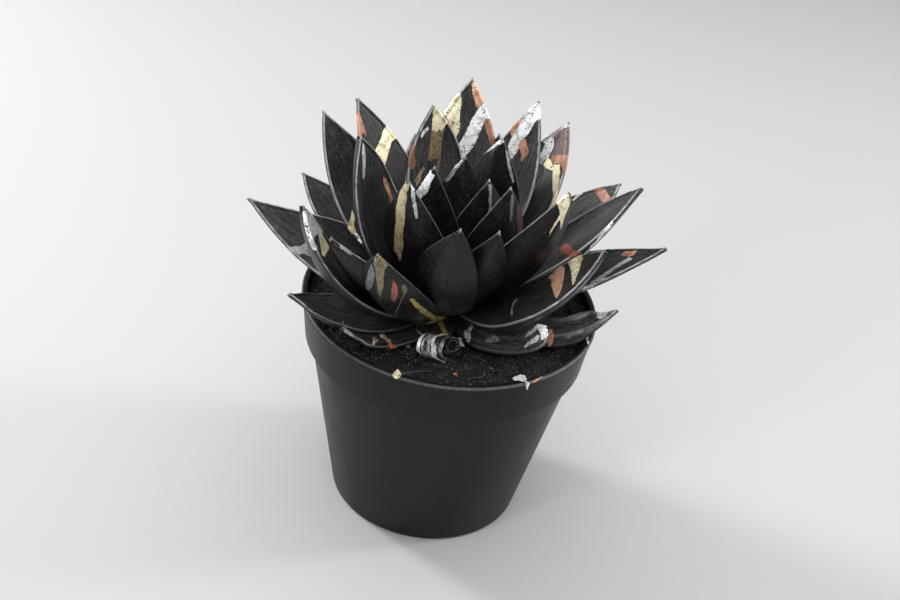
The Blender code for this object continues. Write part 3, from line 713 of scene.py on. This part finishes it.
def leafNormal(leaf, share, reach, under):
    here = leafPoint(leaf, share, reach, under)
    ahead = leafPoint(leaf, share + 0.004, reach, under) - here
    aside = leafPoint(leaf, share, reach + 0.05, under) - here
    normal = ahead.cross(aside).normalized()
    return here, -normal if under else normal


def raggedOutline(outline, seed):
    corners = [Vector((outline[i], outline[i + 1], 0)) for i in range(0, len(outline), 2)]
    points = []
    for first, last in zip(corners, corners[1:] + corners[:1]):
        steps = max(1, round((last - first).length / foilForm["edgeStep"]))
        out = (last - first).cross(up).normalized()
        for i in range(steps):
            point = first.lerp(last, i / steps)
            rough = noise.fractal(point * 0.7 + Vector((0, 0, seed * 3.7)), 0.8, 2.2, 3)
            points.append(point + out * foilForm["ragged"] * rough)
    return points


def startSheet():
    # an open sheet, whose points hold their tone and the way in which it gets its thickness
    sheet = bmesh.new()
    return sheet, sheet.verts.layers.float.new("tone"), sheet.verts.layers.float_vector.new("outward")


def fillOutline(sheet, outline, seed):
    points = [sheet.verts.new(point) for point in raggedOutline(outline, seed)]
    edges = [sheet.edges.new(pair) for pair in zip(points, points[1:] + points[:1])]
    bmesh.ops.triangle_fill(sheet, use_beauty=True, edges=edges)


def closeSheet(shape, sheet, thickness):
    # the sheet becomes a thin closed one and joins the shape
    outward = sheet.verts.layers.float_vector["outward"]
    lifted = bmesh.ops.extrude_face_region(sheet, geom=sheet.faces[:], use_keep_orig=True)["geom"]
    for vert in lifted:
        if isinstance(vert, bmesh.types.BMVert):
            vert.co += vert[outward] * thickness
    bmesh.ops.recalc_face_normals(sheet, faces=sheet.faces)
    mesh = bpy.data.meshes.new("sheet")
    sheet.to_mesh(mesh)
    sheet.free()
    shape.from_mesh(mesh)
    bpy.data.meshes.remove(mesh)


def foilPatch(shape, leaf, under, outline, seed, tone):
    # a thin closed sheet that follows the leaf's skin
    patch, toned, outward = startSheet()
    fillOutline(patch, outline, seed)
    grid = ((Vector((1, 0, 0)), foilForm["acrossStep"]), (Vector((0, 1, 0)), foilForm["alongStep"]))
    for axis, step in grid:
        places = [vert.co.dot(axis) for vert in patch.verts]
        for i in range(math.ceil(min(places) / step), math.floor(max(places) / step) + 1):
            whole = patch.verts[:] + patch.edges[:] + patch.faces[:]
            cut = axis * (i * step + 0.013)  # a little beside the outline's round numbers
            bmesh.ops.bisect_plane(patch, geom=whole, dist=1e-4, plane_co=cut, plane_no=axis)
    bmesh.ops.remove_doubles(patch, verts=patch.verts, dist=0.02)
    bmesh.ops.dissolve_degenerate(patch, edges=patch.edges, dist=0.02)
    bmesh.ops.delete(patch, geom=[edge for edge in patch.edges if edge.is_wire], context="EDGES")
    bmesh.ops.delete(patch, geom=[vert for vert in patch.verts if not vert.link_faces], context="VERTS")
    low, high = min(vert.co.y for vert in patch.verts), max(vert.co.y for vert in patch.verts)
    for vert in patch.verts:
        reach, along = vert.co.x, vert.co.y
        here, normal = leafNormal(leaf, min(along / leaf["length"], 0.99), reach, under)
        crinkle = noise.noise(Vector((reach * 0.8, along * 0.8, seed * 5.1)))
        vert.co = here + normal * (foilForm["lift"] + foilForm["crinkle"] * max(crinkle, 0.0))
        vert[outward] = normal
        share = (along - low) / (high - low)
        vert[toned] = clamp(tone * mix(foilForm["rootTone"], foilForm["tipTone"], share))
    closeSheet(shape, patch, foilForm["thickness"])


scraps = [
    # metal, tone, height, tilt, outline: loose scraps of metal leaf on the soil and the pot's rim
    ("gold", 0.8, 84.3, 12, (-14.9, -50.3, -13.7, -47.5, -12.6, -48.6, -12, -49.6, -12.5, -51.1, -13.2, -51.8,
        -14.1, -51.5)),
    ("silver", 0.75, 84.35, 10, (24, -43.6, 25.1, -41.7, 26.7, -39.9, 28, -39.5, 29.2, -40.9, 30, -40.4, 30.1,
        -43.5, 29.7, -45.8, 29.5, -47.7, 29, -47.6, 28.9, -44.9, 28, -43.4, 26.2, -43.6, 24.8, -44.2)),
    ("copper", 0.8, 84.4, 8, (30.8, -42.5, 32.4, -41, 33.7, -39.5, 34.2, -39.9, 33.1, -41.3, 31.5, -42.9)),
    ("silver", 0.9, 84.3, 14, (48.7, -10.2, 49.4, -12.6, 50.1, -16.5, 49.4, -16.7, 48.6, -13.4, 48.2, -12)),
    ("silver", 0.85, 86.0, 20, (4.7, -24, 5.5, -23.5, 6.3, -24.5, 5.8, -26.7, 6.3, -29.5, 7.2, -32.8, 6.3,
        -33.9, 5.3, -32.1, 4.7, -28.8, 5, -26.3)),
    ("copper", 0.3, 86.0, 20, (35.6, -14.1, 36.5, -14.8, 37.1, -17.6, 37, -20.7, 36, -22.7, 34.9, -20.9, 35.3,
        -17.5)),
    ("bronze", 0.6, 82.6, 20, (-12.4, -29.6, -11.2, -29.2, -10.8, -31.4, -11.9, -32.2, -12.6, -31)),
    ("rust", 0.8, 82.4, 15, (4.7, -41.5, 5.9, -41.9, 5.8, -43.2, 4.6, -43)),
    ("rust", 0.9, 82.5, 25, (-31.5, -22, -30.6, -21.2, -30.2, -22.6, -31.2, -23.1)),
    ("copper", 0.5, 82.5, 20, (16.5, -36.2, 17.4, -35.6, 17.9, -36.6, 17, -37.1)),
]


def looseScrap(shape, outline, height, tilt, seed, tone):
    # a thin crumpled sheet that lies loose, lifted along one side
    patch, toned, outward = startSheet()
    fillOutline(patch, outline, seed)
    bmesh.ops.subdivide_edges(patch, edges=patch.edges[:], cuts=1, use_grid_fill=True)
    bmesh.ops.triangulate(patch, faces=patch.faces[:])
    middle = sum((vert.co for vert in patch.verts), Vector()) / len(patch.verts)
    for vert in patch.verts:
        aside = (vert.co - middle).dot(polar(1, seed * 2.4, 0))
        vert.co.z = height + aside * math.tan(math.radians(tilt)) + 0.35 * noise.noise(vert.co * 0.6)
        vert[toned] = tone
        vert[outward] = up
    closeSheet(shape, patch, foilForm["thickness"])


# The curled dry leaf at the front: thin sheets rolled about one axis that lies on the soil

curlForm = {"steps": 40, "facing": 235}
curlRows = [
    # axis start and end, then sheets: distances along the axis, first and last radius, first and last angle,
    # how far the ends bulge towards the viewer, and the metal and tone of the bright bands among them
    ((-5.7, -32.6, 85.3), (5.6, -34.6, 86.7), [
        (0.0, 7.4, 3.7, 3.9, 30, 345, 2.2),
        (5.0, 9.0, 4.4, 3.4, 20, 330, 2.6),
        (0.0, 1.0, 3.92, 3.94, 125, 340, 2.2, "silver", 0.9),
        (4.9, 6.9, 4.62, 4.1, 110, 350, 2.6, "silver", 0.85),
        (1.5, 4.7, 3.94, 4.0, 100, 330, 2.0, "dull", 0.45),
        (7.2, 8.8, 4.0, 3.6, 150, 320, 2.4, "dull", 0.3),
    ]),
    ((2.9, -28.6, 85.6), (3.1, -32.8, 87.4), [
        (0.0, 4.6, 2.0, 2.2, 0, 352, 0.2),
        (1.2, 4.9, 1.1, 1.4, 20, 300, 0.0),
        (3.5, 4.65, 2.3, 2.38, 0, 358, 0.2, "dull", 0.6),
        (4.1, 5.0, 1.54, 1.6, 30, 290, 0.0, "dull", 0.3),
    ]),
]


def curlSheet(shape, thickness, start, end, first, last, firstRadius, lastRadius, firstAngle, lastAngle,
              bulge, tone=0.0):
    axis = (end - start).normalized()
    across = axis.cross(up).normalized()
    rise = across.cross(axis)
    narrowed = tone and last - first < 3 and bulge > 1
    sheet, toned, outward = startSheet()
    bmesh.ops.create_grid(sheet, x_segments=10, y_segments=curlForm["steps"], size=0.5)
    for vert in sheet.verts:
        share, turned = vert.co.x + 0.5, vert.co.y + 0.5
        degrees = mix(firstAngle, lastAngle, turned)
        angle = math.radians(degrees - 90)
        place = mix(first, last, share)
        if narrowed:
            ends = smoothStep(0.0, 0.4, turned) * smoothStep(1.0, 0.6, turned)
            place = mix(first, last, mix(0.5, share, mix(0.2, 1.0, ends)))
        place -= bulge * math.cos(math.radians(degrees - curlForm["facing"]))
        wave = noise.noise(Vector((0.3 * place, angle * 1.2, 5.0)))
        place += 0.5 * noise.noise(Vector((first, angle * 1.5, share * 2)))
        radius = mix(firstRadius, lastRadius, share) * (1 + 0.16 * wave)
        normal = rise * math.sin(angle) - across * math.cos(angle)
        vert.co = start + axis * place + normal * radius
        vert[outward] = normal
        vert[toned] = tone
    closeSheet(shape, sheet, thickness)


def curlSheets(shape, metal=None):
    # the plain sheets of the curl, or its bands of one metal
    for start, end, sheets in curlRows:
        for sheet in sheets:
            if metal is None and len(sheet) == 7:
                curlSheet(shape, 0.22, Vector(start), Vector(end), *sheet)
            elif metal and sheet[7:8] == (metal,):
                curlSheet(shape, foilForm["thickness"], Vector(start), Vector(end), *sheet[:7], sheet[8])


def makeCurl(made):
    shape = startLeaves()[0]
    curlSheets(shape)
    return finishPiece("dry_curl", shape, made, smoothAngle=50)


metalRows = {
    # metal: (bright colour, deep colour, darker blotches, metallic, roughness, how much has worn off)
    # bare is the yellow mark at the plant's foot, taken to be leaf without paint
    "silver": ((1.0, 1.0, 1.0), (0.95, 0.95, 0.97), (0.30, 0.30, 0.32), 0.2, 0.34, 0.10),
    "gold": ((1.0, 0.95, 0.66), (1.0, 0.76, 0.42), (0.36, 0.24, 0.09), 0.2, 0.34, 0.03),
    "copper": ((1.0, 0.66, 0.46), (1.0, 0.40, 0.23), (0.40, 0.13, 0.06), 0.25, 0.36, 0.02),
    "bronze": ((0.95, 0.74, 0.44), (0.92, 0.62, 0.34), (0.22, 0.14, 0.07), 0.3, 0.40, 0.30),
    "rust": ((0.90, 0.32, 0.18), (0.95, 0.28, 0.16), (0.32, 0.08, 0.04), 0.3, 0.38, 0.16),
    "lilac": ((1.0, 0.82, 0.78), (1.0, 0.66, 0.60), (0.34, 0.18, 0.15), 0.3, 0.36, 0.12),
    "dull": ((0.90, 0.90, 0.91), (0.90, 0.90, 0.91), (0.26, 0.26, 0.27), 0.3, 0.40, 0.20),
    "bare": ((0.40, 0.31, 0.09), (0.40, 0.31, 0.09), (0.20, 0.17, 0.06), 0.0, 0.50, 0.10),
}


def metalMaterial(name, colour, deep, darker, metallic, roughness, worn):
    # the tone of a patch runs from 0, near black, to 1, bright: partly wear and partly painted shade, darker
    # where a patch lay in shade
    made = newMaterial(name, Metallic=metallic, Roughness=roughness)
    place = objectCoordinates(made)
    broad = noiseOn(made, place, 0.32, 2.0)
    fine = noiseOn(made, place, 1.7, 4.0, 0.65)
    strength = attributeOf(made, "tone")
    tone = blendColours(made, strength, deep, colour)
    tone = blendColours(made, rangeOf(made, broad, 0.50, 0.66, 0.0, 0.7), tone, darker)
    tone = blendColours(made, rangeOf(made, fine, 0.53, 0.66, 0.0, 0.5), tone, darker)
    cluster = rangeOf(made, noiseOn(made, place, 0.3, 1.0), 0.56 - worn, 0.62 - worn)
    gone = times(made, cluster, rangeOf(made, noiseOn(made, place, 1.7, 2.0), 0.56, 0.61, 0.0, 0.9))
    tone = blendColours(made, gone, tone, (0.012, 0.012, 0.012))
    # a low tone turns the patch towards black: wear and painted shade
    tone = blendColours(made, strength, (0.006, 0.006, 0.006), tone)
    dress(made, Base_Color=tone, Normal=bumpOn(made, fine, 0.25, 0.6))
    return made


def makeFoils():
    for metal, row in metalRows.items():
        shape = bmesh.new()
        for number, (leafName, markMetal, under, tone, outline) in enumerate(foilMarks):
            if markMetal == metal:
                foilPatch(shape, leaves[leafName], under, outline, number, tone)
        for number, (scrapMetal, tone, height, tilt, outline) in enumerate(scraps):
            if scrapMetal == metal:
                looseScrap(shape, outline, height, tilt, 100 + number, tone)
        curlSheets(shape, metal)
        made = metalMaterial(metal + "_leaf", *row)
        finishPiece(metal + "_foil", shape, made, smoothAngle=60)


makeCurl(leafPaint)
makeFoils()
print("metal leaf", len(foilMarks))


# Soil

soilForm = {
    "level": 81.0,
    "crown": 0.3,
    "bore": (12.3, 59.0),  # radius and floor of the hole that the stem stands in
    "wall": 49.85,
    "below": [(48.5, 69.3), (46.5, 67.3), (33.3, 2.3), (0.0, 2.3)],  # from under the wall to the middle
    "rings": 60,
    "steps": 150,
    "rough": 0.7,
}
crumbForm = {"seed": 11, "count": 1500, "reach": (13.5, 49.0), "small": (0.3, 0.8), "large": (0.8, 1.4),
             "smallShare": 0.85}
gritForm = {"seed": 23, "count": 900, "reach": (15.0, 49.2), "size": (0.12, 0.3), "thickestAt": (5.25, 1.5)}
fibreForm = {"seed": 31, "count": 70, "radius": 0.16, "taper": 0.02}


def peatMaterial():
    made = newMaterial("dark_peat", Roughness=0.92, Specular_IOR_Level=0.3)
    place = objectCoordinates(made)
    grain = noiseOn(made, place, 1.1, 5.0, 0.7)
    blotch = noiseOn(made, place, 0.14, 2.0)
    colour = blendColours(made, rangeOf(made, grain, 0.38, 0.7), (0.003, 0.003, 0.003), (0.036, 0.035, 0.034))
    colour = blendColours(made, rangeOf(made, blotch, 0.42, 0.6, 0.0, 0.75), colour, (0.006, 0.006, 0.006))
    normal = bumpOn(made, grain, 0.6, 0.9)
    dress(made, Base_Color=colour, Normal=normal)
    return made


def makeSoil(made):
    shape = bmesh.new()
    top = soilForm["level"]
    wall = soilForm["wall"]
    bore, boreFloor = soilForm["bore"]
    profile = [(0.0, boreFloor), (bore, boreFloor), (bore, top + soilForm["crown"])]
    for i in range(1, soilForm["rings"] + 1):
        share = i / soilForm["rings"]
        profile.append((mix(bore, wall, share), mix(top + soilForm["crown"], top, share)))
    profile += soilForm["below"]
    points = [shape.verts.new((radius, 0, height)) for radius, height in profile]
    edges = [shape.edges.new(pair) for pair in zip(points, points[1:])]
    bmesh.ops.spin(shape, geom=points + edges, cent=(0, 0, 0), axis=(0, 0, 1), angle=math.tau,
                   steps=soilForm["steps"], use_merge=True)
    bmesh.ops.remove_doubles(shape, verts=shape.verts, dist=0.001)
    bmesh.ops.recalc_face_normals(shape, faces=shape.faces)
    for vert in shape.verts:
        radius = vert.co.xy.length
        if vert.co.z > top - 0.5 and radius < wall - 0.4:
            fade = smoothStep(bore, 14.0, radius) * smoothStep(wall, wall - 2.0, radius)
            lumps = noise.fractal(vert.co * 0.22, 0.9, 2.1, 4) + 0.5 * noise.noise(vert.co * 0.9)
            vert.co.z += soilForm["rough"] * lumps * fade
    return finishPiece("soil_block", shape, made, ["soil"], 60)


def makeCrumbs(made):
    drawn = random.Random(crumbForm["seed"])
    shape = bmesh.new()
    near, far = crumbForm["reach"]
    for i in range(crumbForm["count"]):
        radius = math.sqrt(drawn.uniform(near ** 2, far ** 2))
        centre = polar(radius, drawn.uniform(0, math.tau), soilForm["level"] + drawn.uniform(-0.1, 0.5))
        sizes = crumbForm["small" if drawn.random() < crumbForm["smallShare"] else "large"]
        size = drawn.uniform(*sizes)
        size = min(size, (50.0 - radius) * 0.6)
        crumb = bmesh.ops.create_icosphere(shape, subdivisions=1, radius=max(size, 0.2))["verts"]
        squeeze = [drawn.uniform(0.6, 1.3) for axis in range(3)]
        for vert in crumb:
            vert.co = [value * scale * drawn.uniform(0.8, 1.2) for value, scale in zip(vert.co, squeeze)]
        bmesh.ops.translate(shape, verts=crumb, vec=centre)
    return finishPiece("soil_crumbs", shape, made, smoothAngle=30)


def makeGrit(made):
    # small pale grains, thickest at the front right
    drawn = random.Random(gritForm["seed"])
    shape = bmesh.new()
    near, far = gritForm["reach"]
    for i in range(gritForm["count"]):
        angle = drawn.gauss(*gritForm["thickestAt"]) if i % 3 else drawn.uniform(0, math.tau)
        radius = math.sqrt(drawn.uniform(near ** 2, far ** 2))
        size = drawn.uniform(*gritForm["size"])
        centre = polar(radius, angle, soilForm["level"] + drawn.uniform(0.25, 0.75))
        grain = bmesh.ops.create_icosphere(shape, subdivisions=1, radius=size)["verts"]
        bmesh.ops.scale(shape, verts=grain, vec=[drawn.uniform(0.6, 1.5) for axis in range(3)])
        bmesh.ops.translate(shape, verts=grain, vec=centre)
    return finishPiece("soil_grit", shape, made, smoothAngle=30)


def makeFibres(made):
    # bits of root on the soil, and one long one that reaches over the rim
    drawn = random.Random(fibreForm["seed"])
    shape = bmesh.new()
    paths = [[(-13.2, -50.6, 84.35), (-9.5, -47.6, 84.4), (-6.0, -44.6, 83.2), (-2.5, -42.4, 82.3)]]
    for i in range(fibreForm["count"]):
        place = polar(drawn.uniform(16, 46), drawn.uniform(0, math.tau), soilForm["level"] + 0.7)
        heading = drawn.uniform(0, math.tau)
        path = [place]
        for k in range(4):
            heading += drawn.uniform(-0.7, 0.7)
            ahead = path[-1] + polar(drawn.uniform(0.7, 1.9), heading, drawn.uniform(-0.25, 0.3))
            path.append(ahead if ahead.xy.length < 49 else path[-1] * 0.98)
        paths.append(path)
    for path in paths:
        before = None
        for i, place in enumerate(path):
            along = (Vector(path[min(i + 1, len(path) - 1)]) - Vector(path[max(i - 1, 0)])).normalized()
            radius = fibreForm["radius"] - fibreForm["taper"] * i
            ring = bmesh.ops.create_circle(
                shape, cap_ends=i in (0, len(path) - 1), segments=5, radius=radius)["verts"]
            edges = list({edge for vert in ring for edge in vert.link_edges})
            turn = along.to_track_quat("Z", "Y")
            for vert in ring:
                vert.co = turn @ vert.co + Vector(place)
            if before:
                bmesh.ops.bridge_loops(shape, edges=before + edges)
            before = edges
    bmesh.ops.recalc_face_normals(shape, faces=shape.faces)
    return finishPiece("root_fibres", shape, made)


peat = peatMaterial()
makeSoil(peat)
makeCrumbs(peat)
makeGrit(newMaterial("pale_grit", Base_Color=(0.11, 0.11, 0.112, 1), Roughness=0.8))
makeFibres(newMaterial("dry_root", Base_Color=(0.075, 0.066, 0.055, 1), Roughness=0.8))
print("soil")


# Pot

potForm = {
    "steps": 160,
    "inside": [(31.0, 2.0), (33.6, 2.0), (46.8, 67.0), (48.8, 69.0), (50.3, 84.0)],
    "outside": [(52.5, 84.0), (52.5, 82.4), (52.0, 81.9), (50.2, 67.0), (48.2, 67.0), (35.0, 0.0),
                (31.0, 0.0)],
    "roundings": [0.8, 0.8, 0.8, 0.6, 0.6, 0.2, 0.25, 0.3, 0.3, 2.5],  # one for each corner but the two ends
    "holes": (25.0, 3.5, 8),  # the circle that they stand on, their radius and how many
}
lipHighlightForm = {
    "radius": (51.5, 52.1),  # the painted highlight on the lip fades in between these radii and heights
    "height": (83.0, 83.5),
    "brightest": (40, -34),
    "fade": (15.0, 70.0, 1.0, 0.4),  # distances from there, and how bright the edge is at each
    "colour": (0.12, 0.12, 0.122),
}


def roundCorner(before, corner, after, radius, steps=5):
    before, corner, after = Vector(before), Vector(corner), Vector(after)
    toBefore, toAfter = (before - corner).normalized(), (after - corner).normalized()
    reach = min(radius / math.tan(toBefore.angle(toAfter) / 2), 0.45 * (before - corner).length,
                0.45 * (after - corner).length)
    start, end = corner + toBefore * reach, corner + toAfter * reach
    shares = [i / steps for i in range(steps + 1)]
    return [mix(mix(start, corner, share), mix(corner, end, share), share) for share in shares]


def potMaterial():
    made = newMaterial("black_pot_plastic", Roughness=0.4, Specular_IOR_Level=0.22)
    place = objectCoordinates(made)
    grain = noiseOn(made, place, 3.0, 2.0)
    smear = noiseOn(made, objectCoordinates(made, (0.06, 0.06, 0.02)), 1.0, 3.0)
    scuff = noiseOn(made, objectCoordinates(made, (0.5, 0.5, 0.12)), 1.0, 5.0, 0.7)
    colour = blendColours(made, rangeOf(made, smear, 0.4, 0.7), (0.004, 0.004, 0.0045), (0.008, 0.008, 0.008))
    colour = blendColours(made, rangeOf(made, scuff, 0.6, 0.8, 0.0, 0.5), colour, (0.035, 0.034, 0.033))
    # a painted highlight on the lip's outer edge, brightest at the front right and broken up by the scuff
    # noise
    radius = lengthOf(made, objectCoordinates(made, (1, 1, 0)))
    height = lengthOf(made, objectCoordinates(made, (0, 0, 1)))
    edge = times(made, rangeOf(made, radius, *lipHighlightForm["radius"]), rangeOf(made, height, *lipHighlightForm["height"]))
    lipHighlight = times(made, edge, rangeOf(made, scuff, 0.3, 0.6, 0.35, 1.0))
    x, y = lipHighlightForm["brightest"]
    away = lengthOf(made, objectCoordinates(made, (1, 1, 0), (-x, -y, 0)))
    lipHighlight = times(made, lipHighlight, rangeOf(made, away, *lipHighlightForm["fade"]))
    colour = blendColours(made, lipHighlight, colour, lipHighlightForm["colour"])
    rough = rangeOf(made, smear, 0.3, 0.7, 0.36, 0.5)
    dress(made, Base_Color=colour, Roughness=rough, Normal=bumpOn(made, grain, 0.05, 0.4))
    return made


def makePot(made):
    # the wall is spun, and the flat floor with its drain holes is set into it
    shape = bmesh.new()
    corners = potForm["inside"] + potForm["outside"]
    profile = [Vector(corners[0])]
    for i, radius in enumerate(potForm["roundings"], 1):
        profile += roundCorner(*corners[i - 1:i + 2], radius)
    profile.append(Vector(corners[-1]))
    points = [shape.verts.new((point.x, 0, point.y)) for point in profile]
    edges = [shape.edges.new(pair) for pair in zip(points, points[1:])]
    bmesh.ops.spin(shape, geom=points + edges, cent=(0, 0, 0), axis=(0, 0, 1), angle=math.tau,
                   steps=potForm["steps"], use_merge=True)
    circle, radius, count = potForm["holes"]
    loops = {}
    for height in (2.0, 0.0):
        rim = bmesh.ops.create_circle(shape, segments=potForm["steps"], radius=corners[0][0])["verts"]
        bmesh.ops.translate(shape, verts=rim, vec=(0, 0, height))
        border = {edge for vert in rim for edge in vert.link_edges}
        for i in range(count):
            hole = bmesh.ops.create_circle(shape, segments=28, radius=radius)["verts"]
            bmesh.ops.translate(shape, verts=hole, vec=polar(circle, math.tau * i / count, height))
            loops[i, height] = {edge for vert in hole for edge in vert.link_edges}
            border |= loops[i, height]
        bmesh.ops.triangle_fill(shape, use_beauty=True, edges=list(border), normal=(0, 0, 1))
    for i in range(count):
        bmesh.ops.bridge_loops(shape, edges=list(loops[i, 2.0] | loops[i, 0.0]))
    bmesh.ops.remove_doubles(shape, verts=shape.verts, dist=0.002)
    bmesh.ops.recalc_face_normals(shape, faces=shape.faces)
    print("pot open edges", sum(not edge.is_manifold for edge in shape.edges))
    return finishPiece("nursery_pot", shape, made, ["pot"], 50)


makePot(potMaterial())
print("pot")


# Floor, lights and camera

def makeFloor():
    shape = bmesh.new()
    bmesh.ops.create_grid(shape, x_segments=1, y_segments=1, size=4.0)
    mesh = bpy.data.meshes.new("floor")
    shape.to_mesh(mesh)
    shape.free()
    floor = addObject("floor", mesh)
    mesh.materials.append(newMaterial("pale_floor", Base_Color=(0.40, 0.40, 0.40, 1), Roughness=0.8))


lightRows = {
    # name: (position, target, width, height, brightness, colour)
    "roof": ((0.0, 0.15, 1.0), (0, 0, 0.1), 1.3, 1.3, 2.3, (1.0, 1.0, 1.0)),
    "leftStrip": ((-0.75, 0.35, 0.42), (0, 0, 0.11), 0.14, 0.7, 30.0, (1.0, 1.0, 1.0)),
    "rightStrip": ((0.8, 0.2, 0.38), (0, 0, 0.11), 0.14, 0.6, 20.0, (1.0, 0.99, 0.98)),
    "frontSoft": ((-0.1, -0.75, 0.85), (0, 0, 0.11), 1.1, 0.9, 2.0, (1.0, 1.0, 1.0)),
    "frontStrip": ((-0.55, -0.65, 0.45), (0, 0, 0.11), 0.10, 0.5, 14.0, (1.0, 1.0, 1.0)),
}


def aim(thing, position, target, roll=0.0):
    thing.location = position
    facing = (Vector(target) - Vector(position)).to_track_quat("-Z", "Y")
    thing.rotation_euler = facing.to_euler()
    if roll:
        thing.rotation_euler.rotate_axis("Z", roll)


def makeLights():
    for name, (position, target, width, height, brightness, colour) in lightRows.items():
        light = bpy.data.lights.new(name, "AREA")
        light.shape = "RECTANGLE"
        light.size = width
        light.size_y = height
        light.energy = brightness * math.pi * width * height
        light.color = colour
        lamp = addObject(name, light)
        aim(lamp, position, target)
    world = bpy.data.worlds.new("studio")
    world.use_nodes = True
    background = world.node_tree.nodes["Background"]
    background.inputs["Color"].default_value = (0.9, 0.93, 1.0, 1.0)
    background.inputs["Strength"].default_value = 0.12
    bpy.context.scene.world = world


cameraForm = {
    "position": (0.0, -0.4281, 0.3690),
    "target": (0.0, 0.0, 0.083),
    "lens": 58.0,
    "roll": 8.538,  # degrees
}


def makeCamera():
    data = bpy.data.cameras.new("camera")
    data.lens = cameraForm["lens"]
    data.sensor_width = 36.0
    data.clip_start = 0.01
    camera = addObject("camera", data)
    aim(camera, cameraForm["position"], cameraForm["target"], math.radians(cameraForm["roll"]))
    bpy.context.scene.camera = camera


makeFloor()
makeLights()
makeCamera()
bpy.context.scene.view_settings.view_transform = "Standard"
print("stage")
